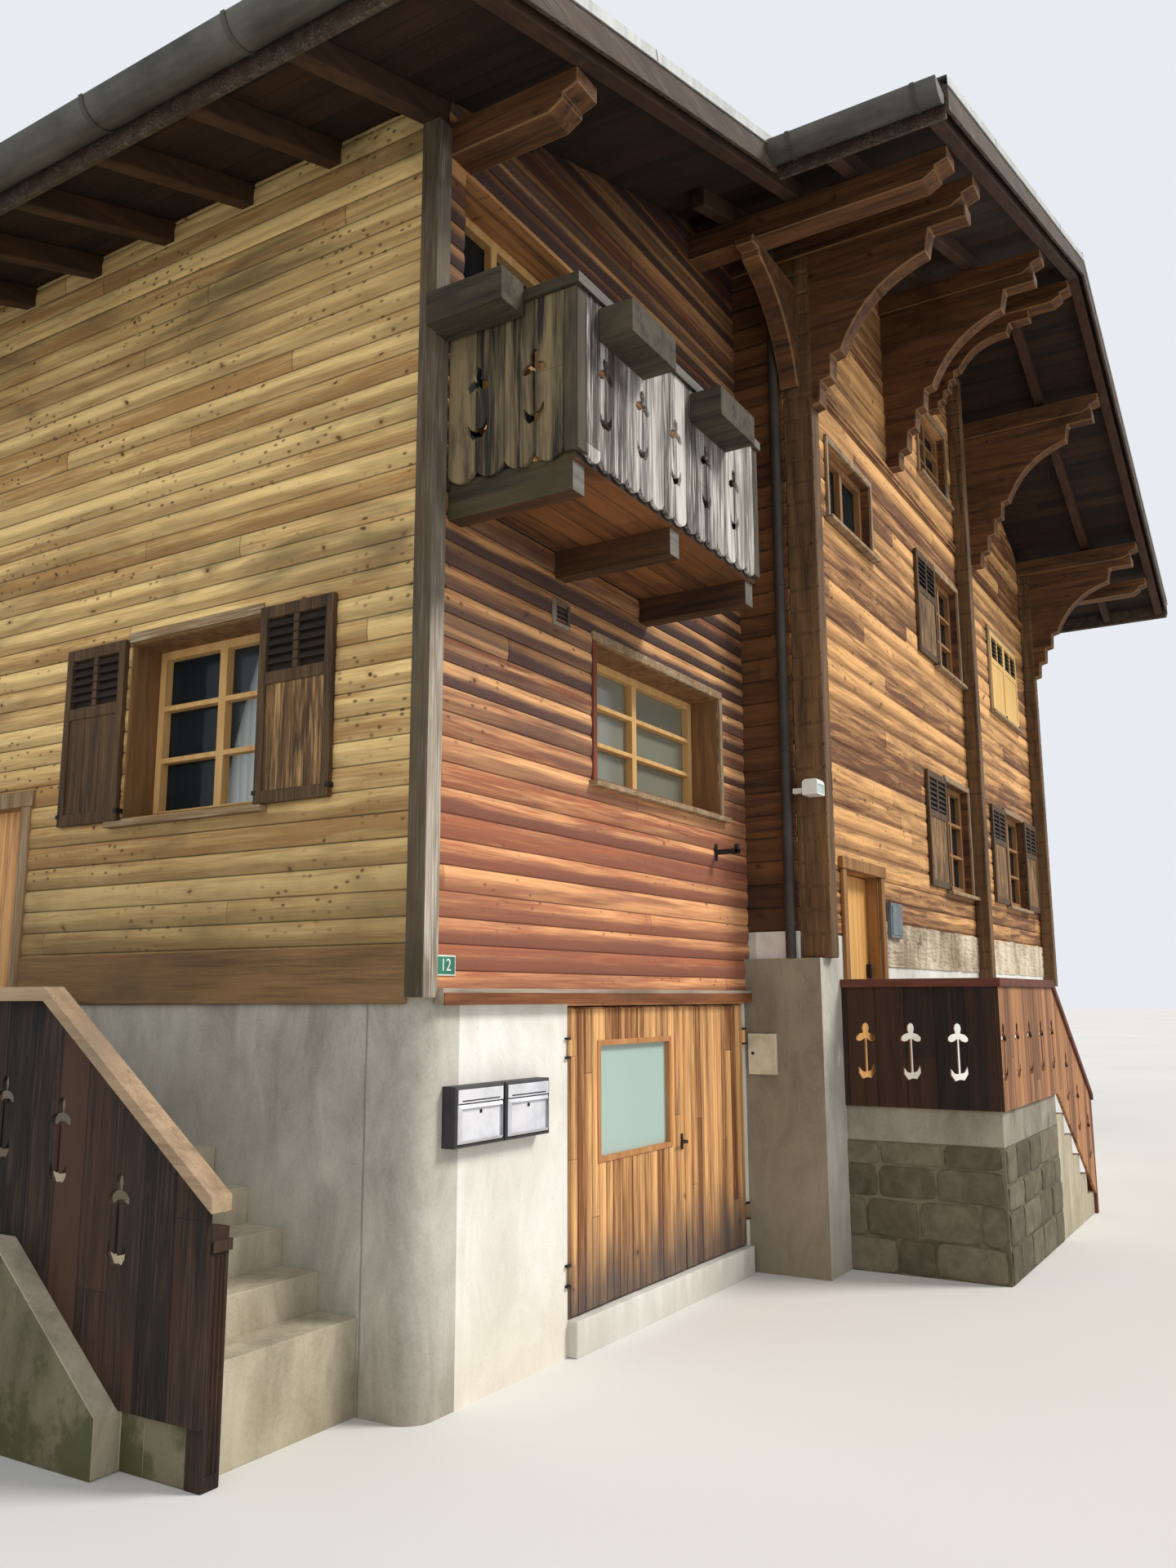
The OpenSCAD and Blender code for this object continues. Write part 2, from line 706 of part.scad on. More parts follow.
// Flower of height h with its foot at 0, cut out of a board: a head of three
// petals, a narrow stem, and two leaves that rise from its foot
module flower(h)
    polygon(concat(
        [for (a = [-75:15:255]) let (r = 0.2 * h * (0.62 + 0.38 * cos(3 * (a - 90))))
            [r * cos(a), 0.8 * h + r * sin(a)]],
        [for (p = [[-0.022, 0.14], [-0.08, 0.15], [-0.15, 0.24], [-0.15, 0.12], [-0.08, 0.02],
            [0, 0.05], [0.08, 0.04], [0.15, 0.15], [0.14, 0.28], [0.08, 0.17],
            [0.022, 0.15]]) h * p]));

// Boards side by side from 0 to length l with round lower ends, up to height h
module boarding(l, h, flowers, n) {
    w = l / n;
    difference() {
        union() {
            translate([0, w / 2]) square([l, h - w / 2]);
            for (i = [0:n - 1])
                intersection() {
                    translate([(i + 0.5) * w, 0.55 * w]) circle(0.55 * w);
                    translate([i * w, 0]) square([w, w]);
                }
        }
        for (x = flowers) translate([x, 0.235 * h]) flower(motif);
    }
}

// Turns a child from the XY plane into the XZ plane, outer face towards -Y
module upright(t) rotate([90, 0, 0]) translate([0, 0, -t]) linear_extrude(t) children();

// Boarding of the balcony between its posts, over the edges of the floor
module balcony_boards() color("dimgray") {
    low = annex_upper_z - 25;
    h = balcony_rail - rail_t - fit + 25;
    side = balcony_d - post + board_t - trim_t - 2 * fit;
    front = balcony_w - 2 * (post - board_t + fit);
    translate([balcony_x + post - board_t + fit, -balcony_d - board_t, low])
        upright(board_t - fit) 
            boarding(front, h, [for (i = [0:4]) (0.094 + 0.191 * i) * front], 15);
    for (x = [balcony_x - board_t, balcony_x + balcony_w + fit])
        translate([x, -trim_t - fit, low]) rotate([0, 0, -90])
            upright(board_t - fit) boarding(side, h, [0.26 * side, 0.75 * side], 4);
}

// Corner posts, top rails and flower boxes of the balcony
module balcony_rails() color("dimgray") {
    high = annex_upper_z + balcony_rail;
    left = balcony_x - 45;
    right = balcony_x + balcony_w + 45;
    front = -balcony_d - 45;
    block([left, front, high - rail_t], [right, front + 95, high]);
    for (x = [left, right - 95])
        block([x, front + 95 + fit, high - rail_t], [x + 95, -trim_t - fit, high]);
    for (x = [balcony_x - board_t, balcony_x + balcony_w + board_t - post])
        block([x, -balcony_d - board_t, annex_upper_z + fit], [x + post,
            -balcony_d - board_t + post, high - rail_t - fit]);
    for (x = [balcony_x + 180, balcony_x + 1230])
        translate([x, -balcony_d - board_t - box_d, high - box_h - 90]) flower_box();
    translate([left - box_d, -trim_t - 10, high - box_h + 30]) rotate([0, 0, -90])
        flower_box();
}

// Open box of boards for plants, along +X
module flower_box()
    difference() {
        cube([box_l, box_d - fit, box_h]);
        translate([box_t, box_t, box_t]) cube([box_l - 2 * box_t, box_d - fit - 2 * box_t, box_h]);
    }

// Window frame with two casements, in the XZ plane, outer face at 0
module window_frame(w, h, rows) {
    pane_w = (w - 3 * bar) / 2;
    pane_h = (h - 2 * bar - (rows - 1) * bar / 2) / rows;
    difference() {
        block([fit, 0, fit], [w - fit, frame_t, h - fit]);
        for (i = [0:1]) for (j = [0:rows - 1])
            translate([bar + i * (pane_w + bar), -1, bar + j * (pane_h + bar / 2)])
                cube([pane_w, frame_t + 2, pane_h]);
    }
}

// Hinge knuckle with its plate on a leaf that lies on the +X and +Y side
module knuckle(side)
    difference() {
        union() {
            cylinder(h = knuckle_h, r = knuckle_r);
            block([side > 0 ? -2 : -plate_w, 0, 0], [side > 0 ? plate_w : 2, knuckle_r + 2, knuckle_h]);
        }
        translate([0, 0, -1]) cylinder(h = knuckle_h + 2, r = pin_r + fit);
    }

// Fixed pin between two arms that reach from the jamb at distance reach
module hinge_pin(reach, side) {
    translate([0, 0, -arm_h - 2]) cylinder(h = knuckle_h + 2 * arm_h + 4, r = pin_r);
    for (z = [-arm_h - 2, knuckle_h + 2])
        block([side > 0 ? -reach : 0, -pin_r, z], [side > 0 ? 0 : reach, knuckle_r + 2 - fit, z + arm_h]);
}

// Heights of the hinges above the foot of a leaf of height h
function hinge_rows(h) = [180, h - 180 - knuckle_h];

// Turns a child from the XZ plane into one opening: w holds its data, whose
// size and open shutters the child reads as $w, $h, $left and $right
module opening(w, inset) {
    $w = w[2];
    $h = w[3];
    $left = w[4];
    $right = w[5];
    $inset = inset;
    children();
}

// Turns a child into every opening
module at_windows() {
    for (w = annex_left_windows) translate([0, w[0] + w[2], w[1]]) rotate([0, 0, -90])
        opening(w, annex_reveal) children();
    for (w = annex_front_windows) translate([w[0], 0, w[1]]) opening(w, annex_reveal) children();
    for (w = annex_back_windows) translate([w[0] + w[2], annex_d, w[1]]) rotate([0, 0, 180])
        opening(w, annex_reveal) children();
    for (w = front_windows) translate([w[0], main_front, w[1]]) opening(w, reveal) children();
    for (w = side_windows) translate([main_right, w[0], w[1]]) rotate([0, 0, 90])
        opening(w, reveal) children();
    for (w = back_windows) translate([w[0] + w[2], main_back, w[1]]) rotate([0, 0, 180])
        opening(w, reveal) children();
}

module window_frames() color("goldenrod") {
    at_windows() translate([0, $inset, 0]) window_frame($w, $h, $h > 700 ? 3 : 1);
    translate([balcony_door[0], annex_reveal, balcony_door[1] + fit])
        window_frame(balcony_door[2], balcony_door[3] - fit, 3);
}

// Boards round each opening: head, drip sill, and jambs where no shutter lies open
module window_casings() color("sienna")
    at_windows() {
        block([$left == 0 ? -casing : 0, -board_t, $h + fit],
            [$w + ($right == 0 ? casing : 0), -fit, $h + casing + 15]);
        block([-80, -70, -60], [$w + 80, -fit, -25]);
        if ($left == 0) block([-casing, -board_t, -25 + fit], [-fit, -fit, $h]);
        if ($right == 0) block([$w + fit, -board_t, -25 + fit], [$w + casing, -fit, $h]);
    }

// Glass behind each frame
module window_glass() color("lightblue") {
    at_windows() glass_sheet($w, $h, $inset);
    translate([balcony_door[0], 0, balcony_door[1]])
        glass_sheet(balcony_door[2], balcony_door[3], annex_reveal);
}

module glass_sheet(w, h, inset)
    block([fit, inset + frame_t + fit, fit], [w - fit, inset + frame_t + glass_t, h - fit]);

// One shutter leaf in the XZ plane, outer face towards -Y, with louvres in its top
module shutter(w, h)
    difference() {
        block([0, -shutter_t, 0], [w, -fit, h]);
        for (i = [0:3])
            block([70, -shutter_t - 1, h - 130 - i * 65], [w - 70, 1, h - 95 - i * 65]);
    }

// Leaves folded back on the wall beside their openings, and one closed pair
module shutters() color("dimgray") {
    at_windows() {
        if ($left > 0) translate([-$left - 2, 0, -20]) shutter($left, $h + 40);
        if ($right > 0) translate([$w + 2, 0, -20]) shutter($right, $h + 40);
    }
    leaf = closed_window[2] / 2 - fit;
    for (x = [0, leaf + 2 * fit])
        translate([closed_window[0] + x, main_front, closed_window[1]])
            shutter(leaf, closed_window[3]);
}

module garage_threshold() color("white")
    block([garage_x + fit, -60, 0], [garage_x + garage_w - fit, annex_base_t - fit, threshold_z]);

module garage_left_leaf() color("peru") {
    translate([garage_x + leaf_gap, garage_y, leaf_z])
        difference() {
            cube([garage_left_w, leaf_t, leaf_h]);
            translate([glass_x, -1, glass_z]) cube([glass_w, leaf_t + 2, glass_h]);
        }
    for (z = hinge_rows(leaf_h))
        translate([garage_hinge_left, garage_hinge_y, leaf_z + z]) knuckle(1);
}

// Pane held in the middle of the left leaf
module garage_left_glass() color("lightgray")
    translate([garage_x + leaf_gap + glass_x, garage_y, leaf_z + glass_z])
        block([fit, leaf_t / 2 - glass_t, fit], [glass_w - fit, leaf_t / 2, glass_h - fit]);

module garage_right_leaf() color("peru") {
    translate([garage_x + garage_left_w + 2 * leaf_gap, garage_y, leaf_z])
        cube([garage_right_w, leaf_t, leaf_h]);
    for (z = hinge_rows(leaf_h))
        translate([garage_hinge_right, garage_hinge_y, leaf_z + z]) knuckle(-1);
}

module terrace_door() color("goldenrod") {
    translate([tdoor_x + leaf_gap, main_front + log_t - leaf_t, tdoor_leaf_z])
        cube([tdoor_w - 2 * leaf_gap, leaf_t, tdoor_h - 2 * leaf_gap]);
    for (z = hinge_rows(tdoor_h - 2 * leaf_gap))
        translate([tdoor_hinge_x, tdoor_hinge_y, tdoor_leaf_z + z]) mirror([0, 1, 0]) knuckle(1);
}

// Fixed halves of the hinges, on the jambs
module hinge_pins() color("darkslategray") {
    for (z = hinge_rows(leaf_h)) {
        translate([garage_hinge_left, garage_hinge_y, leaf_z + z])
            hinge_pin(garage_hinge_left - garage_x + 30, 1);
        translate([garage_hinge_right, garage_hinge_y, leaf_z + z])
            hinge_pin(garage_x + garage_w - garage_hinge_right + 30, -1);
    }
    for (z = hinge_rows(tdoor_h - 2 * leaf_gap))
        translate([tdoor_hinge_x, tdoor_hinge_y, tdoor_leaf_z + z]) mirror([0, 1, 0])
            hinge_pin(tdoor_hinge_x - tdoor_x
                + (tdoor_leaf_z + z > main_base_h ? 30 : -fit), 1);
}

module terrace_plinth() color("gray")
    block([terrace_x + fit, terrace_y, 0],
        [terrace_right, main_front - fit, main_floor_z - slab_t]);

module terrace_slab() color("silver")
    block([terrace_x + fit, terrace_y, main_floor_z - slab_t + fit],
        [terrace_right, main_front - fit, main_floor_z]);

// Boarding on the outer faces of the terrace and of its steps
module terrace_boards() color("brown") {
    low = main_floor_z - 20;
    h = terrace_rail + 20 - rail_t - fit;
    side = terrace_d - pier_d - 2 * fit;
    front = terrace_w + board_t;
    run = steps_end - terrace_right - fit;
    pitch = step_riser / terrace_going;
    foot = 0.22 * h;
    translate([terrace_x - board_t, main_front - pier_d - fit, low]) rotate([0, 0, -90])
        upright(board_t - fit) panel([[0, 0], [side, 0], [side, h], [0, h]],
            [for (i = [0:2]) [(0.155 + 0.3 * i) * side, foot]]);
    translate([terrace_x - board_t, terrace_y - board_t, low]) upright(board_t - fit)
        panel([[0, 0], [front, 0], [front, h], [0, h]],
            [for (x = [85:motif_step:front - 80]) [x, foot]]);
    translate([terrace_right + fit, terrace_y - board_t, low]) upright(board_t - fit)
        panel([[0, 0], [run, -run * pitch], [run, h - run * pitch], [0, h]],
            [for (x = [430:motif_step:run - 80]) [x, foot - x * pitch]]);
}

// Flat boarding with an outline and flower cut-outs
module panel(outline, flowers)
    difference() {
        polygon(outline);
        for (place = flowers) translate(place) flower(motif);
    }

// Corner post and top rails over the terrace boarding, down the steps as well
module terrace_rails() color("brown") {
    high = main_floor_z + terrace_rail;
    out = terrace_y - board_t - 20;
    drop = step_count * step_riser;
    block([terrace_x - board_t - 20, out, high - rail_t],
        [terrace_x + 60, main_front - pier_d - fit, high]);
    block([terrace_x + 60 + fit, out, high - rail_t], [terrace_right, terrace_y + 60, high]);
    slice_y(out, terrace_y + 60) polygon([[terrace_right + fit, high - rail_t],
        [steps_end + 60, high - rail_t - drop - 40], [steps_end + 60, high - drop - 40],
        [terrace_right + fit, high]]);
    block([terrace_x, terrace_y, main_floor_z + fit],
        [terrace_x + post, terrace_y + post, high - rail_t - fit]);
    block([steps_end + fit, terrace_y - board_t, 0],
        [steps_end + 60, terrace_y + 60, high - rail_t - drop - 40 - fit]);
}

module terrace_steps() color("silver")
    for (i = [0:step_count - 1])
        block([terrace_right + i * terrace_going + fit, terrace_y, 0],
            [terrace_right + (i + 1) * terrace_going, main_front - fit,
                main_floor_z - (i + 1) * step_riser]);

// Solid treads, the landing, and the kerb that carries the boarding
module stair_flight() color("lightgray") {
    for (i = [0:stair_treads - 1])
        block([-stair_w, stair_y + i * going, 0],
            [-fit, stair_y + (i + 1) * going - fit, first_tread + i * riser]);
    block([-stair_w, stair_y + stair_treads * going, 0], [-fit, stair_end, stair_top]);
    side_slice(-stair_w - kerb_w, -stair_w) polygon([[kerb_foot[0], 0], kerb_foot,
        kerb_head, [stair_end, kerb_head[1]], [stair_end, 0]]);
}

// Outline drawn as [distance along Y, height], between x0 and x1
module side_slice(x0, x1)
    translate([x0, 0, 0]) rotate([90, 0, 90]) linear_extrude(x1 - x0) children();

// Top of the sloping side rail at y
function rail_z(y) = stair_top + stair_rail - max(0, stair_y + stair_treads * going - y)
    * riser / going;

// Boarding outside the stair, from the kerb up to the rail, and the fluted newel
module stair_boards() color("saddlebrown") {
    front = stair_y - 95;
    bend = stair_y + stair_treads * going;
    side_slice(-stair_w - board_t - fit, -stair_w - 2 * fit) difference() {
        polygon([[front, kerb_foot[1]], kerb_foot + [0, fit], kerb_head + [0, fit],
            [stair_end, kerb_head[1] + fit], [stair_end, rail_z(bend) - handrail_t - fit],
            [bend, rail_z(bend) - handrail_t - fit], [front, rail_z(front) - handrail_t - fit]]);
        for (y = [stair_y + 460:motif_step:stair_end - 200])
            translate([y, rail_z(y) - 800]) flower(0.95 * motif);
    }
    translate([-stair_w, stair_y - newel_w - fit, 0]) newel();
}

// Square post with three flutes in its face and a wider cap
module newel() {
    difference() {
        cube([newel_w, newel_w, newel_h]);
        for (x = [0.25, 0.5, 0.75])
            translate([x * newel_w, 0, 60]) cylinder(h = newel_h - 160, r = 9);
    }
    translate([0, -12, newel_h - 95]) cube([newel_w + 12, newel_w + 12, 45]);
}

// Handrail over the boarding, sloping and then level
module stair_rails() color("tan") {
    front = stair_y - 170;
    bend = stair_y + stair_treads * going;
    side_slice(-stair_w - 80, -stair_w + 30) polygon([
        [front, rail_z(front)], [bend, rail_z(bend)], [stair_end, rail_z(bend)],
        [stair_end, rail_z(bend) - handrail_t], [bend, rail_z(bend) - handrail_t],
        [front, rail_z(front) - handrail_t]]);
}

module side_door() color("peru")
    block([60, side_door_y + fit, stair_top + fit],
        [60 + leaf_t, side_door_y + side_door_w - fit, stair_top + side_door_h - fit]);

// Two letterboxes side by side on the wall left of the garage
module letterboxes() color("dimgray")
    for (x = [garage_x - 1140, garage_x - 720])
        block([x, -80, letterbox_z], [x + 410, -fit, letterbox_z + 290]);

module meter_box() color("ivory")
    block([main_x - pier_out - 20, -250, meter_z], [main_x - pier_out - fit, -30, meter_z + 290]);

// Lamp on the corner stack: its arm, its back and its hood
module floodlight() color("white") {
    y = main_front - corner_end + 70;
    block([main_x - 40, y - 35, lamp_z], [main_x - fit, y + 35, lamp_z + 120]);
    block([main_x - 150, y - 60, lamp_z + 30], [main_x - 40 - fit, y + 60, lamp_z + 110]);
}

annex_base_left();
annex_base_front();
annex_base_back();
annex_ground_slab();
annex_floor();
annex_upper_floor();
annex_left_wall();
annex_front_wall();
annex_back_wall();
annex_trim();
main_base_front();
main_base_left();
main_base_right();
main_base_back();
main_ground_floor();
main_upper_floor();
attic_floor();
front_wall_left_of_door();
front_wall_beside_door();
front_wall();
main_left_wall();
main_right_wall();
main_back_wall();
log_ends();
consoles();
purlins();
rafters_left();
rafters_right();
deck_left();
deck_right();
cover_left();
cover_right();
barge_boards();
gutters();
downpipe();
balcony_deck();
balcony_boards();
balcony_rails();
window_frames();
window_casings();
window_glass();
shutters();
garage_threshold();
garage_left_leaf();
garage_left_glass();
garage_right_leaf();
terrace_door();
terrace_plinth();
terrace_slab();
terrace_boards();
terrace_rails();
terrace_steps();
hinge_pins();
stair_flight();
stair_boards();
stair_rails();
side_door();
letterboxes();
meter_box();
floodlight();
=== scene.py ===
"""The looks of an alpine chalet: boards, shutters, slates, stones, fittings and finishes on its frame."""

import math
import random

import bpy
import numpy as np
from mathutils import Matrix, Vector
from mathutils.noise import noise


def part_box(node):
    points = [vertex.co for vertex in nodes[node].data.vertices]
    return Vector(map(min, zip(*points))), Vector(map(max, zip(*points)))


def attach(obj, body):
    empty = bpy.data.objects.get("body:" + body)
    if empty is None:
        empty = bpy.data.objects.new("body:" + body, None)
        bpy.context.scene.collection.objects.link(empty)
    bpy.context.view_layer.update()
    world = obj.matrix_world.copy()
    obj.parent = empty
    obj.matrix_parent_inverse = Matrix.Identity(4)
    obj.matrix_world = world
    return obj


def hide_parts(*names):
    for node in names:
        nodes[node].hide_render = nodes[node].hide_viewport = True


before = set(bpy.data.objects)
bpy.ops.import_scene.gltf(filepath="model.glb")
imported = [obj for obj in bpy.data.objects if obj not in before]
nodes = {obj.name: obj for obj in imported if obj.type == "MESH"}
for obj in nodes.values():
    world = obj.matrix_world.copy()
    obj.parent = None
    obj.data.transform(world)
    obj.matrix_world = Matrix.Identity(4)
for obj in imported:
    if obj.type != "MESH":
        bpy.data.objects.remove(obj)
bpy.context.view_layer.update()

chance = random.Random(19)


# Places taken from the frame

def solids(node):
    """The boxes (low corner, high corner) of the separate solids in a CAD node, left to right."""
    mesh = nodes[node].data
    points = np.round(np.array([v.co for v in mesh.vertices]), 4)
    spots, of_vertex = np.unique(points, axis=0, return_inverse=True)
    of_vertex = of_vertex.ravel()
    group = np.arange(len(spots))

    def root(i):
        while group[i] != i:
            group[i] = group[group[i]]
            i = group[i]
        return i

    for face in mesh.polygons:
        first, *others = (root(of_vertex[i]) for i in face.vertices)
        for other in others:
            group[root(other)] = root(first)
    roots = np.array([root(i) for i in range(len(spots))])
    boxes = [(Vector(spots[roots == r].min(0)), Vector(spots[roots == r].max(0))) for r in np.unique(roots)]
    return sorted(boxes, key=lambda b: (round(b[0].x, 3), round(b[0].y, 3), round(b[0].z, 3)))


def low(node, axis):
    """Lowest place of a CAD node along an axis, 0 to 2."""
    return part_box(node)[0][axis]


def high(node, axis):
    """Highest place of a CAD node along an axis, 0 to 2."""
    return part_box(node)[1][axis]


X, Y, Z = 0, 1, 2
main_x, main_right = low("main_base_front", X), high("main_base_front", X)
main_front = low("front_wall", Y)
annex_back = high("annex_left_wall", Y)
annex_base_top = high("annex_base_left", Z)
main_base_top = high("main_base_front", Z)
floor_top = high("terrace_slab", Z)
ridge_x, ridge_z = low("cover_right", X), high("cover_right", Z)
roof_slope = ((low("deck_right", Z) - low("deck_left", Z))
              / (2 * ridge_x - low("deck_left", X) - high("deck_right", X)))
drip_ledge = solids("annex_trim")[1]
window_lights = solids("window_glass")


# Shader graphs

def srgb(red, green, blue):
    """A colour from its screen values, 0 to 255, as a shader's linear colour."""
    def linear(c):
        c = c / 255
        return c / 12.92 if c <= 0.04045 else ((c + 0.055) / 1.055) ** 2.4
    return (linear(red), linear(green), linear(blue), 1.0)


class Wire:
    """One output socket of a graph. Sums, products and comparisons of wires add their Math nodes."""

    def __init__(self, graph, socket):
        self.graph, self.socket = graph, socket

    def __add__(self, other):
        return self.graph.math("ADD", self, other)

    def __sub__(self, other):
        return self.graph.math("SUBTRACT", self, other)

    def __rsub__(self, other):
        return self.graph.math("SUBTRACT", other, self)

    def __mul__(self, other):
        return self.graph.math("MULTIPLY", self, other)

    def __truediv__(self, other):
        return self.graph.math("DIVIDE", self, other)

    def __gt__(self, other):
        return self.graph.math("GREATER_THAN", self, other)

    def __lt__(self, other):
        return self.graph.math("LESS_THAN", self, other)

    __radd__, __rmul__ = __add__, __mul__

    def floor(self):
        return self.graph.math("FLOOR", self, 0)

    def fract(self):
        return self.graph.math("FRACT", self, 0)

    def step(self, start, end):
        """0 before start and 1 past end, smooth between them."""
        return self.graph.node("ShaderNodeMapRange", {"interpolation_type": "SMOOTHSTEP"},
                               {"Value": self, "From Min": start, "From Max": end})


class Graph:
    """The shader graph of one material, on Object coordinates."""

    def __init__(self, name):
        self.material = bpy.data.materials.new(name)
        self.material.use_nodes = True
        self.tree = self.material.node_tree
        self.tree.nodes.clear()
        self.place = self.node("ShaderNodeTexCoord", output="Object")
        self.x, self.y, self.z = (
            self.node("ShaderNodeSeparateXYZ", {}, {0: self.place}, output=i) for i in range(3))

    def node(self, kind, settings=None, inputs=None, output=0):
        """Adds a node: its settings first, then the values or wires of its sockets."""
        made = self.tree.nodes.new(kind)
        for key, value in (settings or {}).items():
            if key == "stops":
                for spot, (position, colour) in enumerate(value):
                    if spot > 1:
                        made.color_ramp.elements.new(position)
                    made.color_ramp.elements[spot].position = position
                    made.color_ramp.elements[spot].color = colour
            else:
                setattr(made, key, value)
        for key, value in (inputs or {}).items():
            if isinstance(value, Wire):
                self.tree.links.new(value.socket, made.inputs[key])
            else:
                made.inputs[key].default_value = value
        return Wire(self, made.outputs[output]) if len(made.outputs) else None

    def math(self, operation, a, b):
        return self.node("ShaderNodeMath", {"operation": operation}, {0: a, 1: b})

    def vector(self, x, y, z=0.0):
        return self.node("ShaderNodeCombineXYZ", {}, {0: x, 1: y, 2: z})

    def noise(self, vector, scale=1.0, detail=3.0, roughness=0.55, distortion=0.0):
        return self.node("ShaderNodeTexNoise", {}, {
            "Vector": vector, "Scale": scale, "Detail": detail,
            "Roughness": roughness, "Distortion": distortion})

    def chance(self, vector):
        """A number from 0 to 1 for each whole-number place."""
        return self.node("ShaderNodeTexWhiteNoise", {"noise_dimensions": "3D"}, {"Vector": vector})

    def cells(self, vector, scale, output="Distance", flat=False):
        """The distance to the nearest of many scattered points, or that point's own colour."""
        return self.node("ShaderNodeTexVoronoi", {"voronoi_dimensions": "2D" if flat else "3D"},
                         {"Vector": vector, "Scale": scale}, output)

    def ramp(self, factor, *stops):
        return self.node("ShaderNodeValToRGB", {"stops": stops}, {0: factor})

    def mix(self, factor, a, b, blend="MIX"):
        """Colour a where factor is 0 and b where it is 1."""
        return self.node("ShaderNodeMix", {"data_type": "RGBA", "blend_type": blend},
                         {0: factor, 6: a, 7: b}, output=2)

    def shade(self, colour, factor):
        """A colour made darker or lighter by a number."""
        return self.mix(1.0, colour, self.node("ShaderNodeCombineColor", {},
                                               {0: factor, 1: factor, 2: factor}), "MULTIPLY")

    def finish(self, colour, roughness=0.8, height=None, depth=0.002, strength=0.6, metallic=0.0,
               specular=0.3):
        """The surface: a colour, a roughness, and a relief of that depth in metres."""
        inputs = {"Base Color": colour, "Roughness": roughness, "Metallic": metallic,
                  "Specular IOR Level": specular}
        if height is not None:
            inputs["Normal"] = self.node("ShaderNodeBump", {}, {
                "Strength": strength, "Distance": depth, "Height": height}, output="Normal")
        shader = self.node("ShaderNodeBsdfPrincipled", {}, inputs)
        self.node("ShaderNodeOutputMaterial", {}, {"Surface": shader})
        return self.material


# Timber finishes

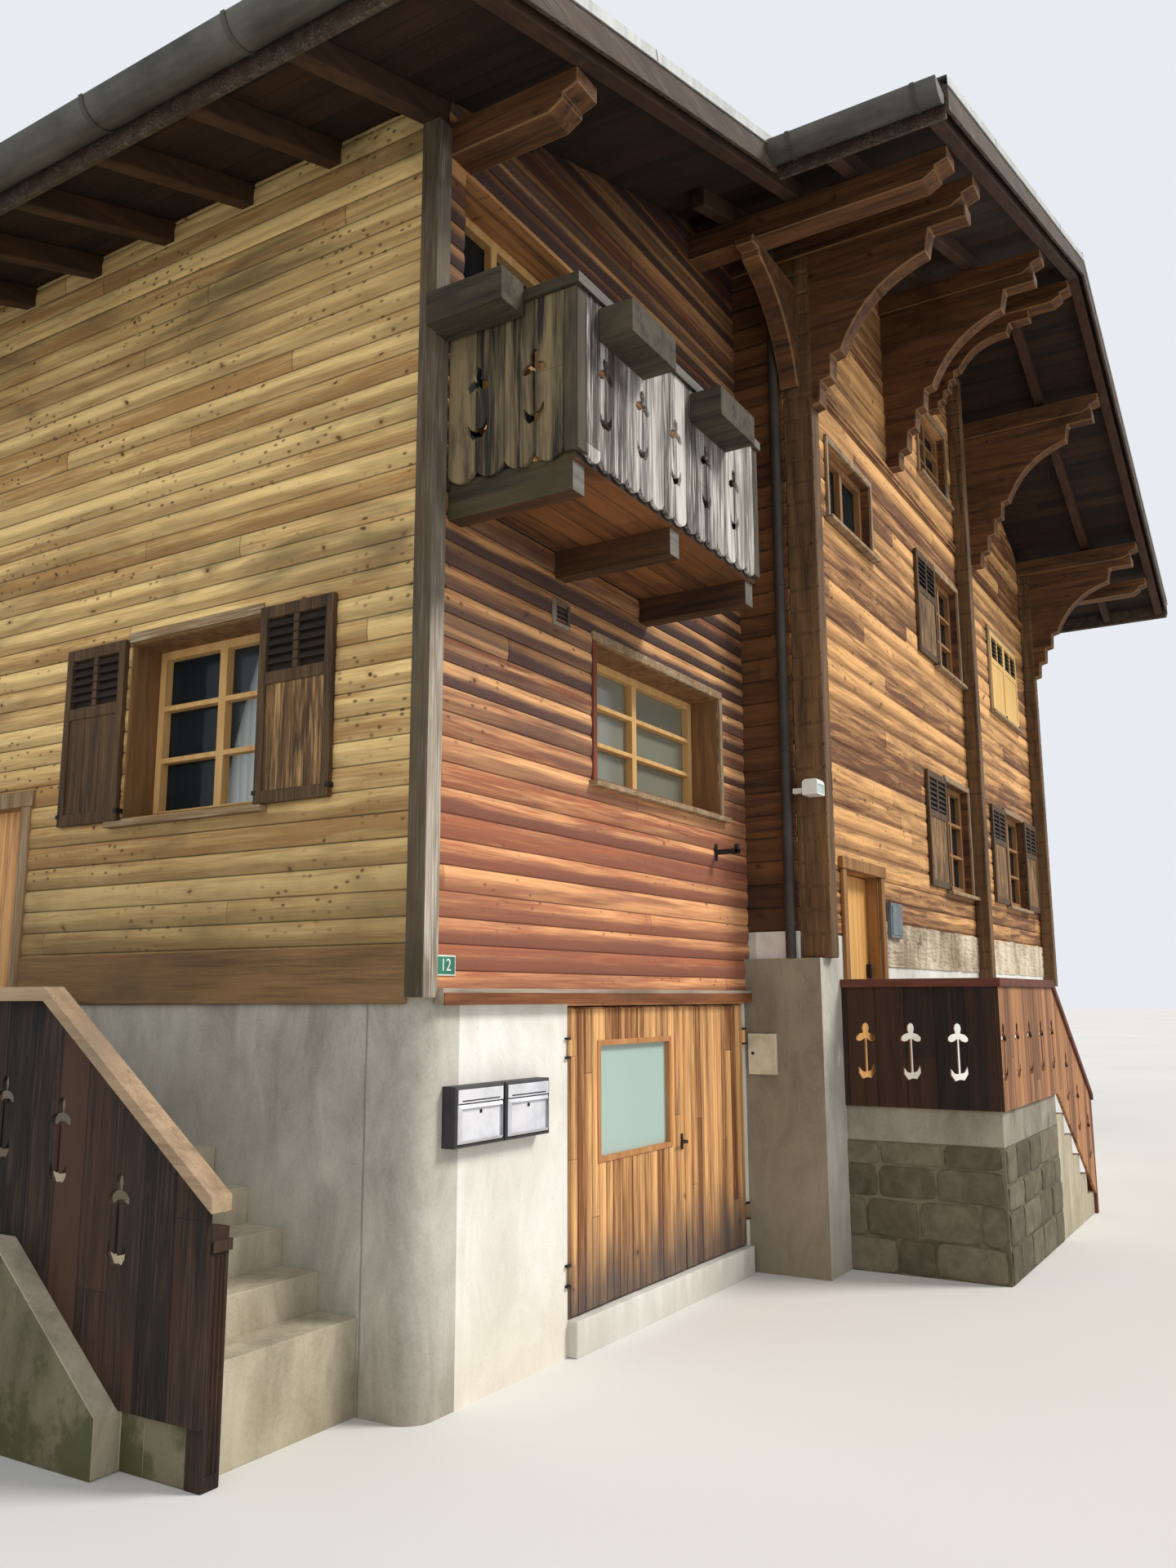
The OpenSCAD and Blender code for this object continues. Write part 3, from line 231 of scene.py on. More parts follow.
def timber(name, axes, light, dark, pitch=0.0, start=0.0, length=3.6, stain=None, stain_share=0.45,
           knot=0.0, band=0.0, foot=None, head=None, contrast=1.0, streak=14.0, worn=None,
           patch_scale=(0.8, 1.5), dots=0.0, painted_shade_tint=None, painted_shade_reach=(0.28, 0.62), foot_share=0.85):
    """Wood. axes names the axis along the grain, then across it, then the third one, s being x + y.
    pitch is the width of a board across the grain, from start, and length the length of a board.
    stain is a weathering colour in patches, stain_share their share, and patch_scale the patches to a metre
    along and across the grain. knot is the share of dark knots and dots that of small pin knots.
    band is the strength of a painted shade along the lower edge of each board, where its rounded face
    turns from the light; its shade tint gives the colour of that shade, and its shade reach where it fades.
    foot is a colour that creeps up from a height, as (colour, from, to), with the strength foot_share,
    and head a painted shade that hangs down in the same way, over the top of a wall under an overhang.
    worn is a bleached colour of the fibres.
    contrast is the difference between light and dark grain, and streak its lines to a metre."""
    g = Graph(name)
    u, v, w = ({"x": g.x, "y": g.y, "z": g.z, "s": g.x + g.y}[axis] for axis in axes)
    wander = g.noise(g.vector(u * 0.7, v * 2.0, w * 2.0), 1.0, 2.0)
    fibre = g.noise(g.vector(u * 3.0, v * 90.0, w * 90.0), 1.0, 4.0, 0.6)
    grain = g.noise(g.vector(u * 0.9, v * streak + wander * 2.0, w * streak), 1.0, 5.0, 0.62)
    tone = (grain - 0.5) * (1.5 * contrast) + (fibre - 0.5) * (0.7 * contrast) + 0.5
    if pitch:
        row = ((v - start) / pitch).floor()
        piece = ((u + g.chance(g.vector(row, 7.0)) * length) / length).floor()
        lot = g.chance(g.vector(row, piece, 3.0))
        tone = tone + (lot - 0.5) * (0.55 * contrast)
    colour = g.ramp(tone, (0.12, dark), (0.85, light))
    if knot:
        spot = g.vector(u * 3.9 + wander * 3.0, v * 5.2 + wander * 2.0)
        near = g.cells(spot, 1.0, flat=True)
        kept = g.node("ShaderNodeSeparateColor", {},
                      {0: g.cells(spot, 1.0, "Color", flat=True)}) < knot
        dot = (1.0 - near.step(0.035, 0.08)) * kept
        halo = (1.0 - near.step(0.08, 0.22)) * kept
        colour = g.mix(halo * 0.35, colour, dark)
        colour = g.mix(dot * 0.9, colour, srgb(62, 34, 18))
    if dots:
        pins = g.vector(u * 9.0, v * 15.0 + wander * 2.0)
        group = g.noise(g.vector(u * 1.1, v * 2.3), 1.0, 3.0).step(0.46, 0.62)
        some = g.node("ShaderNodeSeparateColor", {},
                      {0: g.cells(pins, 1.0, "Color", flat=True)}) < dots
        pin = (1.0 - g.cells(pins, 1.0, flat=True).step(0.07, 0.19)) * some * group
        colour = g.mix(pin * 0.8, colour, srgb(70, 48, 30))
    if stain is not None:
        along, across_grain = patch_scale
        cloud = g.noise(g.vector(u * along, v * across_grain, w * across_grain), 1.0, 4.0, 0.6, 0.6)
        patch = (cloud * 0.75 + grain * 0.35).step(1.0 - stain_share, 1.18 - stain_share)
        colour = g.mix(patch * 0.75, colour, stain)
    if worn is not None:
        peel = g.noise(g.vector(u * 2.2, v * 13.0, w * 13.0), 1.0, 3.0).step(0.38, 0.60)
        colour = g.mix(fibre.step(0.44, 0.68) * peel * 0.75, colour, worn)
    relief = fibre * 0.35 + grain * 0.65
    if pitch:
        across = ((v - start) / pitch).fract()
        # Painted shade: the lower edge of each board is darkened where its rounded face turns away from the
        # light.
        if band:
            reach = g.noise(g.vector(u * 0.7, row * 3.7), 1.0, 3.0)
            strength = (g.chance(g.vector(row, piece, 11.0)) * 0.6
                        + g.noise(g.vector(u * 0.45, row * 5.1), 1.0, 2.0) * 0.7).step(0.15, 0.85)
            edge = 1.0 - (across + (reach - 0.5) * 0.7 + (fibre - 0.5) * 0.2).step(*painted_shade_reach)
            colour = g.mix(edge * strength * band, colour, painted_shade_tint or dark)
        joint = across.step(0.0, 0.06) * (1.0 - across.step(0.95, 1.0))
        end = (u + g.chance(g.vector(row, 7.0)) * length) / length
        butt = end.fract().step(0.0, 0.0016)
        colour = g.shade(colour, 0.42 + joint * butt * 0.58)
        relief = relief + joint * butt * 1.2
    if foot is not None:
        tint, first, last = foot
        creep = g.noise(g.vector(g.x * 6.0, g.y * 6.0, g.z * 1.2), 1.0, 3.0)
        colour = g.mix((1.0 - (g.z + (creep - 0.5) * 0.6).step(first, last)) * foot_share, colour, tint)
    # Painted shade: head darkens the top of a wall that lies under the balcony or the eaves.
    if head is not None:
        tint, first, last = head
        shade = g.noise(g.vector(g.x * 1.5, g.y * 1.5, g.z * 3.0), 1.0, 3.0)
        over = (g.z + (shade - 0.5) * 0.7).step(first, last)
        colour = g.mix(over * 0.6, colour, tint, "MULTIPLY")
    return g.finish(colour, 0.62 + fibre * 0.3, relief, 0.003)


GREY = srgb(112, 104, 94)
BOARD_PITCH = 0.1305
LOG_PITCH = 0.175
GARAGE_BOARD, GARAGE_LEFT = 0.08, 1.318
BALCONY_FRONT_BOARD, BALCONY_FRONT_START = 0.13796, 0.1753
BALCONY_SIDE_BOARD, BALCONY_SIDE_START = 0.17985, -0.0253

# The band of these boards and logs, with its tint, is painted shade along the lower edge of each board.
honey_side = timber("honey_side", "yzx", srgb(255, 222, 152), srgb(184, 142, 88), BOARD_PITCH, annex_base_top,
                    length=7.0, stain=srgb(92, 79, 55), stain_share=0.46, knot=0.16, band=0.5, dots=0.8,
                    contrast=1.35, patch_scale=(0.6, 1.9), painted_shade_tint=srgb(124, 94, 58),
                    foot=(srgb(110, 88, 58), annex_base_top + 0.2, annex_base_top + 1.7), foot_share=0.5)
honey_back = timber("honey_back", "xzy", srgb(214, 178, 120), srgb(150, 114, 70), BOARD_PITCH, annex_base_top,
                    stain=srgb(100, 86, 60), stain_share=0.45, knot=0.16, band=0.4, dots=0.7)
# red_front: head paints the shade under the balcony above 3.9 m.
red_front = timber("red_front", "xzy", srgb(250, 192, 132), srgb(150, 92, 62), BOARD_PITCH, annex_base_top,
                   length=12.0, stain=srgb(84, 58, 54), stain_share=0.50, knot=0.08, band=1.0, dots=0.4,
                   contrast=1.6, streak=26.0, patch_scale=(0.45, 10.0), painted_shade_tint=srgb(88, 64, 58),
                   painted_shade_reach=(0.34, 0.72), foot=(srgb(206, 120, 86), 2.6, 3.7), foot_share=0.30,
                   head=(srgb(150, 134, 108), 3.9, 4.5))
olive_trim = timber("olive_trim", "zxy", srgb(112, 98, 76), srgb(62, 52, 40), stain=srgb(58, 52, 38),
                    worn=GREY)
# silver_trim: head paints the shade behind the balcony on the upper part of the corner board.
silver_trim = timber("silver_trim", "zxy", srgb(184, 172, 154), srgb(112, 100, 84), stain=srgb(92, 80, 66),
                     worn=srgb(204, 196, 184), head=(srgb(96, 80, 62), 3.4, 4.6))
ledge_wood = timber("ledge_wood", "xzy", srgb(196, 182, 162), srgb(132, 116, 98), stain=srgb(104, 88, 72),
                    worn=GREY)
ledge_board = timber("ledge_board", "xzy", srgb(150, 92, 52), srgb(80, 46, 28), stain=srgb(60, 40, 28),
                     stain_share=0.42)
front_logs = timber("front_logs", "xzy", srgb(234, 179, 115), srgb(106, 66, 38), LOG_PITCH, main_base_top,
                    stain=srgb(74, 50, 34), stain_share=0.42, knot=0.2, band=0.6, contrast=1.4, dots=0.35,
                    patch_scale=(0.6, 3.0))
# Painted shade: a dark copy of the front logs for faces that turn from the light, on the side walls and the
# left faces of the front.
shaded_logs = timber("shaded_logs", "yzx", srgb(128, 84, 46), srgb(58, 34, 20), LOG_PITCH, main_base_top,
                   stain=srgb(48, 34, 26), stain_share=0.45, knot=0.3, band=0.4)
log_ends = timber("log_end_grain", "zxy", srgb(128, 96, 62), srgb(54, 39, 27), stain=srgb(46, 37, 30),
                  contrast=1.2)
beams = timber("roof_beams", "yzx", srgb(120, 80, 47), srgb(54, 34, 20), stain=srgb(40, 29, 20),
               stain_share=0.44, knot=0.2, contrast=1.3)
# Painted highlight: a lighter wood for the eased arrises of the consoles and purlins, where light catches the
# edge.
arris_highlight = timber("arris_highlight", "yzx", srgb(150, 116, 78), srgb(96, 68, 44), contrast=0.9)
rafter_wood = timber("rafter_wood", "xzy", srgb(78, 53, 33), srgb(36, 25, 17), stain=srgb(42, 32, 26),
                     stain_share=0.42)
soffit = timber("soffit_boards", "yxz", srgb(56, 36, 22), srgb(20, 14, 10), 0.14, 0.0,
                stain=srgb(26, 20, 16), stain_share=0.5, knot=0.2)
verge_wood = timber("verge_wood", "xzy", srgb(84, 66, 50), srgb(42, 34, 27), stain=srgb(56, 52, 46),
                    worn=GREY)
silver_boards = timber("silver_boards", "zxy", srgb(206, 200, 192), srgb(78, 70, 63),
                       BALCONY_FRONT_BOARD, BALCONY_FRONT_START, stain=srgb(40, 34, 30), stain_share=0.53,
                       contrast=1.9, streak=30.0, worn=srgb(222, 218, 212), patch_scale=(0.9, 9.0))
olive_boards = timber("olive_boards", "zyx", srgb(138, 122, 90), srgb(38, 34, 28),
                      BALCONY_SIDE_BOARD, BALCONY_SIDE_START, stain=srgb(42, 39, 32), stain_share=0.50,
                      contrast=2.0, patch_scale=(0.9, 5.0))
olive_rail = timber("olive_rail", "sxz", srgb(84, 74, 57), srgb(36, 31, 25), stain=srgb(33, 29, 24),
                    contrast=1.3)
olive_post = timber("olive_post", "zxy", srgb(96, 85, 66), srgb(42, 36, 29), stain=srgb(38, 34, 28),
                    contrast=1.3)
joist_wood = timber("joist_wood", "yxz", srgb(92, 62, 38), srgb(38, 26, 17), stain=srgb(36, 27, 20),
                    contrast=1.2)
joist_side = timber("joist_side", "yxz", srgb(86, 76, 52), srgb(38, 33, 24), stain=srgb(34, 30, 22))
pale_end = timber("pale_end", "xzy", srgb(134, 130, 122), srgb(78, 73, 66), stain=srgb(80, 73, 66))
balcony_wood = timber("balcony_wood", "xyz", srgb(132, 86, 48), srgb(56, 36, 22), 0.16, 0.12,
                      stain=srgb(38, 29, 21), stain_share=0.46, contrast=1.3)
larch_frame = timber("larch_frame", "zxy", srgb(228, 190, 128), srgb(188, 140, 82), contrast=0.7)
brown_frame = timber("brown_frame", "zxy", srgb(172, 126, 80), srgb(108, 74, 46), stain=srgb(88, 64, 44))
door_casing = timber("door_casing", "zxy", srgb(176, 128, 76), srgb(108, 74, 44), stain=srgb(84, 62, 42),
                     stain_share=0.42)
red_casing = timber("red_casing", "zxy", srgb(146, 80, 52), srgb(84, 48, 34), stain=srgb(64, 42, 34),
                    stain_share=0.42)
casing_wood, casing_heads = (
    timber(name, axes, srgb(168, 140, 104), srgb(104, 78, 52), stain=srgb(112, 100, 78), stain_share=0.42,
           worn=srgb(190, 178, 156))
    for name, axes in (("casing_wood", "zxy"), ("casing_heads", "szx")))
reveal_wood = timber("reveal_wood", "zyx", srgb(150, 112, 72), srgb(92, 64, 40), stain=srgb(84, 66, 46),
                     stain_share=0.4)
shutter_wood = timber("shutter_wood", "zyx", srgb(98, 74, 48), srgb(46, 34, 23), stain=srgb(40, 32, 25),
                      stain_share=0.42, worn=srgb(112, 86, 58), contrast=1.2)
# Near-black wood for the louvres and the board behind them: painted shade for the dark gaps between the
# slats.
shaded_louvre_wood = timber("shaded_louvre_wood", "yzx", srgb(50, 38, 28), srgb(20, 16, 12), stain=srgb(18, 15, 12))
pale_shutter = timber("pale_shutter", "zxy", srgb(236, 200, 128), srgb(200, 154, 84), contrast=0.7)
door_wood = timber("door_wood", "zxy", srgb(238, 184, 122), srgb(128, 80, 46), GARAGE_BOARD, GARAGE_LEFT,
                   foot=(srgb(74, 70, 70), 0.2, 0.78), knot=0.1, band=0.3, contrast=1.4, streak=24.0,
                   stain=srgb(92, 66, 46), stain_share=0.40, patch_scale=(0.7, 9.0))
pale_door = timber("pale_door", "zxy", srgb(236, 186, 112), srgb(204, 148, 78), 0.12, 4.86, contrast=0.6)
terrace_wood = timber("terrace_wood", "zxy", srgb(180, 128, 86), srgb(106, 70, 46), 0.12, 4.2,
                      stain=srgb(84, 58, 42), stain_share=0.36, contrast=1.3, streak=24.0)
# Painted shade: a dark copy of the terrace boards for their left faces, which turn from the light.
terrace_shaded_side = timber("terrace_shaded_side", "zyx", srgb(62, 39, 25), srgb(22, 16, 11), 0.215, -1.71,
                      stain=srgb(24, 18, 13), stain_share=0.42, contrast=1.3)
terrace_cap = timber("terrace_cap", "sxz", srgb(124, 70, 54), srgb(62, 36, 28), stain=srgb(48, 30, 24))
stair_wood = timber("stair_wood", "zyx", srgb(70, 47, 33), srgb(19, 15, 12), 0.2, 0.25,
                    stain=srgb(30, 25, 21), stain_share=0.46, worn=srgb(72, 58, 46), contrast=1.5)
rail_wood = timber("rail_wood", "yzx", srgb(184, 158, 128), srgb(132, 108, 84), stain=srgb(120, 106, 90))
skirt_wood = timber("skirt_wood", "yzx", srgb(160, 124, 82), srgb(96, 72, 48), stain=srgb(100, 84, 60),
                    stain_share=0.42)
worn_panel = timber("worn_panel", "zxy", srgb(146, 110, 72), srgb(74, 53, 35), stain=srgb(52, 38, 26),
                    stain_share=0.52, contrast=1.3, streak=22.0, patch_scale=(2.6, 11.0),
                    worn=srgb(206, 168, 112))
pane_trim = timber("pane_trim", "zxy", srgb(206, 150, 96), srgb(150, 96, 56), contrast=0.8)
floor_wood = timber("floor_wood", "yxz", srgb(178, 132, 84), srgb(126, 86, 50), 0.14, 0.0, contrast=0.8)


# Mineral, metal and other finishes

def masonry(name, light, dark, moss=None, grit=1.0, damp=0.6, upright=None, foot=srgb(120, 108, 84)):
    """Cement render or cast concrete, with clouds, pits and a stained foot. grit is the strength of its
    relief, damp the height that the foot's colour reaches, and upright the place along x + y of an upright
    joint."""
    g = Graph(name)
    cloud = g.noise(g.place, 0.8, 5.0, 0.6, 0.3)
    speckle = g.noise(g.place, 55.0, 4.0, 0.7)
    trowel = g.noise(g.vector(g.x * 4.0, g.y * 4.0, g.z * 1.6), 1.0, 4.0, 0.65, 0.8)
    colour = g.ramp(cloud * 0.55 + trowel * 0.35 + speckle * 0.14, (0.40, dark), (0.62, light))
    pits = (1.0 - g.cells(g.place, 34.0).step(0.05, 0.14)) * (g.noise(g.place, 3.0) > 0.56)
    colour = g.shade(colour, 1.0 - pits * 0.3)
    relief = speckle * 0.5 * grit + trowel * 0.9 - pits * 0.6
    if upright is not None:
        apart = g.math("ABSOLUTE", g.x + g.y + (trowel - 0.5) * 0.02 - upright, 0)
        line = apart.step(0.002, 0.010)
        colour = g.shade(colour, 0.62 + line * 0.38)
        relief = relief + line * 0.8
    streak = g.noise(g.vector(g.x * 9.0, g.y * 9.0, g.z * 0.5), 1.0, 4.0)
    low_part = 1.0 - (g.z + (streak - 0.5) * 0.7).step(0.0, damp)
    colour = g.mix(low_part * 0.35, colour, foot)
    if moss is not None:
        patch = (g.noise(g.place, 2.4, 5.0, 0.7) + low_part * 0.16).step(0.56, 0.7)
        colour = g.mix(patch * 0.75, colour, moss)
    return g.finish(colour, 0.88, relief, 0.004, 0.5, specular=0.2)


def metal(name, light, dark, roughness=0.5, metallic=0.6):
    """Weathered sheet metal with runs and dull patches."""
    g = Graph(name)
    runs = g.noise(g.vector(g.x * 14.0, g.y * 2.0, g.z * 3.0), 1.0, 4.0, 0.65)
    cloud = g.noise(g.place, 3.0, 4.0)
    colour = g.ramp(runs * 0.5 + cloud * 0.5, (0.34, dark), (0.66, light))
    return g.finish(colour, roughness + cloud * 0.25, runs + cloud, 0.0015, 0.35, metallic, 0.5)


def coated(name, light, dark, roughness=0.45):
    """Painted or moulded surface with faint dust."""
    g = Graph(name)
    dust = g.noise(g.place, 6.0, 4.0, 0.6)
    fine = g.noise(g.place, 180.0, 2.0)
    colour = g.mix(dust.step(0.35, 0.75), light, dark)
    return g.finish(colour, roughness + dust * 0.2, fine, 0.0004, 0.3, specular=0.45)


def slate(name):
    """Split stone slabs, each with its own grey, and lichen."""
    g = Graph(name)
    lot = g.node("ShaderNodeAttribute", {"attribute_name": "lot"}, output="Fac")
    cloud = g.noise(g.place, 5.0, 5.0, 0.65)
    fine = g.noise(g.place, 40.0, 4.0, 0.7)
    colour = g.ramp(cloud * 0.4 + fine * 0.2 + lot * 0.5, (0.25, srgb(56, 56, 56)),
                    (0.85, srgb(126, 122, 114)))
    lichen = g.noise(g.place, 9.0, 5.0, 0.75).step(0.6, 0.7)
    colour = g.mix(lichen * 0.4, colour, srgb(150, 146, 116))
    return g.finish(colour, 0.75 + fine * 0.2, cloud + fine * 0.5, 0.005, 0.6, specular=0.3)


def rubble(name):
    """Field stones of mixed greys and browns."""
    g = Graph(name)
    lot = g.node("ShaderNodeAttribute", {"attribute_name": "lot"}, output="Fac")
    cloud = g.noise(g.place, 7.0, 5.0, 0.65, 0.4)
    fine = g.noise(g.place, 60.0, 4.0, 0.7)
    colour = g.ramp(cloud * 0.7 + lot * 0.3, (0.25, srgb(70, 65, 52)), (0.5, srgb(98, 91, 74)),
                    (0.75, srgb(124, 116, 98)))
    moss = g.noise(g.place, 3.5, 4.0, 0.7).step(0.56, 0.7)
    colour = g.mix(moss * 0.5, colour, srgb(92, 92, 56))
    return g.finish(colour, 0.85, cloud + fine * 0.6, 0.008, 0.7, specular=0.2)


def glowing_cotton(name, light, dark):
    """Plain cotton: a fine weave and soft clouds, and a faint painted glow that stands in for daylight coming
    through it.
    """
    g = Graph(name)
    warp = (g.y * 900.0).fract()
    weft = (g.z * 900.0).fract()
    weave = warp.step(0.1, 0.5) * weft.step(0.1, 0.5)
    cloud = g.noise(g.place, 4.0, 3.0)
    colour = g.mix(cloud.step(0.3, 0.7), light, dark)
    g.finish(g.shade(colour, 0.94 + weave * 0.06), 0.9, weave, 0.0003, 0.4, specular=0.1)
    # Painted light: the cloth glows faintly, standing in for daylight shining through it.
    surface = next(node for node in g.tree.nodes if node.type == "BSDF_PRINCIPLED")
    surface.inputs["Emission Color"].default_value = light
    surface.inputs["Emission Strength"].default_value = 0.35
    return g.material


def pane(name, colour, roughness=0.05, see_through=0.5):
    """Window glass: glossy, and partly clear."""
    g = Graph(name)
    haze = g.noise(g.place, 2.0, 3.0)
    gloss = g.node("ShaderNodeBsdfPrincipled", {}, {
        "Base Color": colour, "Roughness": haze * 0.1 + roughness, "Specular IOR Level": 0.8})
    clear = g.node("ShaderNodeBsdfTransparent", {}, {"Color": (0.92, 0.95, 0.95, 1.0)})
    edge = g.node("ShaderNodeLayerWeight", {}, {"Blend": 0.25}, output="Fresnel")
    body = g.node("ShaderNodeMixShader", {}, {0: edge * 0.8 + (1.0 - see_through), 1: clear, 2: gloss})
    g.node("ShaderNodeOutputMaterial", {}, {"Surface": body})
    g.material.surface_render_method = "BLENDED"
    return g.material


render_wall = masonry("render_wall", srgb(206, 202, 190), srgb(152, 147, 136), grit=1.4)
left_render = masonry("left_render", srgb(206, 202, 190), srgb(152, 147, 136), grit=1.4, upright=0.34)
front_render = masonry("front_render", srgb(240, 237, 230), srgb(210, 205, 194), upright=0.17,
                       foot=srgb(206, 192, 158), damp=0.8)
rough_mortar = masonry("rough_mortar", srgb(222, 208, 184), srgb(118, 98, 74), moss=srgb(96, 72, 50),
                       grit=3.0)
# Painted shade: a dark copy of the render for the left face of the pier under the main front.
painted_shade_wall = masonry("painted_shade_wall", srgb(150, 140, 122), srgb(110, 101, 86), grit=1.6)
white_wall = masonry("white_wall", srgb(232, 230, 224), srgb(196, 192, 182))
grey_stone = masonry("grey_stone", srgb(160, 153, 138), srgb(104, 98, 86), moss=srgb(84, 82, 56), grit=1.8)
# Moss, with painted shade: a dark stone for the left faces of the stair flight, which turn from the light.
mossy_shaded_wall = masonry("mossy_shaded_wall", srgb(122, 118, 96), srgb(72, 70, 52), moss=srgb(66, 72, 34))
step_stone = masonry("step_stone", srgb(204, 194, 170), srgb(146, 137, 117), grit=1.6)
white_sill = masonry("white_sill", srgb(240, 238, 232), srgb(212, 208, 200))
zinc = metal("zinc", srgb(104, 103, 96), srgb(60, 60, 55), 0.5, 0.45)
dark_zinc = metal("dark_zinc", srgb(74, 68, 60), srgb(38, 34, 30), 0.55, 0.3)
bright_zinc = metal("bright_zinc", srgb(188, 189, 187), srgb(142, 143, 141), 0.5, 0.35)
iron = metal("dark_iron", srgb(62, 56, 52), srgb(30, 28, 28), 0.55, 0.7)
box_grey = coated("box_grey", srgb(222, 222, 226), srgb(188, 190, 196))
box_frame = coated("box_frame", srgb(52, 50, 52), srgb(34, 33, 36))
ivory = coated("ivory", srgb(216, 208, 186), srgb(186, 176, 150))
green_plate = coated("green_plate", srgb(40, 128, 100), srgb(30, 104, 84), 0.3)
plate_white = coated("plate_white", srgb(236, 238, 232), srgb(214, 216, 208), 0.3)
meter_grey = coated("meter_grey", srgb(112, 120, 124), srgb(84, 90, 94))
slates = slate("slates")
stones = rubble("field_stones")
mortar = masonry("mortar", srgb(120, 113, 94), srgb(82, 77, 63), moss=srgb(72, 70, 46), grit=2.0)
window_glass = pane("window_glass", srgb(40, 46, 50), 0.04, 0.82)
hazy_glass = pane("hazy_glass", srgb(140, 142, 128), 0.06, 0.25)
cotton = glowing_cotton("white_cotton_glow", srgb(248, 247, 243), srgb(232, 231, 226))
strap_metal = metal("strap_metal", srgb(88, 88, 76), srgb(56, 56, 48), 0.6, 0.4)
frosted = pane("frosted_glass", srgb(176, 198, 190), 0.25, 0.05)


# CAD nodes and their finishes

NODE_FINISH = {
    "annex_base_left": left_render, "annex_base_front": front_render, "annex_base_back": render_wall,
    "annex_ground_slab": grey_stone, "annex_floor": floor_wood, "annex_upper_floor": floor_wood,
    "annex_left_wall": honey_side, "annex_front_wall": red_front, "annex_back_wall": honey_back,
    "annex_trim": olive_trim, "main_base_front": white_wall, "main_base_left": render_wall,
    "main_base_right": white_wall, "main_base_back": white_wall, "main_ground_floor": floor_wood,
    "main_upper_floor": floor_wood, "attic_floor": floor_wood, "front_wall_left_of_door": front_logs,
    "front_wall_beside_door": front_logs, "front_wall": front_logs, "main_left_wall": shaded_logs,
    "main_right_wall": shaded_logs, "main_back_wall": front_logs, "log_ends": log_ends, "consoles": beams,
    "purlins": beams, "rafters_left": rafter_wood, "rafters_right": rafter_wood, "deck_left": soffit,
    "deck_right": soffit, "cover_left": slates, "cover_right": slates, "barge_boards": verge_wood,
    "gutters": zinc, "downpipe": dark_zinc, "balcony_deck": balcony_wood, "balcony_boards": silver_boards,
    "balcony_rails": olive_rail, "window_frames": larch_frame, "window_glass": window_glass,
    "window_casings": casing_wood, "shutters": shutter_wood, "garage_threshold": white_sill,
    "garage_left_leaf": door_wood, "garage_left_glass": frosted, "garage_right_leaf": door_wood,
    "terrace_door": pale_door, "terrace_plinth": mortar, "terrace_slab": grey_stone,
    "terrace_boards": terrace_wood, "terrace_rails": terrace_cap, "terrace_steps": step_stone,
    "hinge_pins": iron, "stair_flight": step_stone, "stair_boards": stair_wood, "stair_rails": rail_wood,
    "side_door": door_wood, "letterboxes": box_frame, "meter_box": ivory, "floodlight": plate_white,
}
for node, finish in NODE_FINISH.items():
    nodes[node].data.materials.clear()
    nodes[node].data.materials.append(finish)


# Modelling by hand

def deselect():
    """Leaves nothing selected."""
    bpy.ops.object.select_all(action="DESELECT")


def only(*things):
    """Selects these objects alone, the first one active."""
    deselect()
    for thing in things:
        thing.select_set(True)
    bpy.context.view_layer.objects.active = things[0]


def settle(piece):
    """Moves the place, turn and scale of an object into its mesh."""
    only(piece)
    bpy.ops.object.transform_apply(location=True, rotation=True, scale=True)
    return piece


def cuboid(name, start, end):
    """A box between two corners."""
    start, end = Vector(start), Vector(end)
    deselect()
    bpy.ops.mesh.primitive_cube_add(size=1, location=(start + end) / 2)
    piece = bpy.context.object
    piece.name = name
    piece.scale = end - start
    return settle(piece)


def cylinder(radius, length, middle, sides, lying=False, ends="NGON"):
    """A round bar about its middle, upright or along Y, with closed or open ends."""
    deselect()
    bpy.ops.mesh.primitive_cylinder_add(vertices=sides, radius=radius, depth=length, end_fill_type=ends,
                                        location=middle, rotation=(math.pi / 2 if lying else 0, 0, 0))
    return settle(bpy.context.object)


def modify(piece, kind, **settings):
    """Adds one modifier and applies it."""
    only(piece)
    made = piece.modifiers.new(kind.title(), kind)
    for key, value in settings.items():
        setattr(made, key, value)
    bpy.ops.object.modifier_apply(modifier=made.name)
    return piece


def arris(piece, width, segments=2):
    """Eases every sharp edge of a piece."""
    return modify(piece, "BEVEL", width=width, segments=segments, limit_method="ANGLE")


def plank(name, start, end, edge=0.004, segments=2):
    """A board between two corners, with eased arrises."""
    return arris(cuboid(name, start, end), edge, segments)


def choose(piece, kind, chosen):
    """Opens edit mode with the edges or faces selected whose corners all pass a test."""
    only(piece)
    bpy.ops.object.mode_set(mode="EDIT")
    bpy.ops.mesh.select_mode(type=kind)
    bpy.ops.mesh.select_all(action="DESELECT")
    bpy.ops.object.mode_set(mode="OBJECT")
    mesh = piece.data
    for part in (mesh.edges if kind == "EDGE" else mesh.polygons):
        part.select = all(chosen(mesh.vertices[i].co) for i in part.vertices)
    bpy.ops.object.mode_set(mode="EDIT")


def ease(piece, chosen, width, segments=3):
    """Rounds the edges whose two ends pass a test."""
    choose(piece, "EDGE", chosen)
    bpy.ops.mesh.bevel(offset=width, segments=segments, affect="EDGES")
    bpy.ops.object.mode_set(mode="OBJECT")
    return piece


def sink(piece, chosen, rim, move):
    """Insets the faces whose corners pass a test by a rim, and moves what is inside it."""
    choose(piece, "FACE", chosen)
    bpy.ops.mesh.inset(thickness=rim, depth=0)
    bpy.ops.mesh.extrude_region_move(TRANSFORM_OT_translate={"value": move})
    bpy.ops.object.mode_set(mode="OBJECT")
    return piece


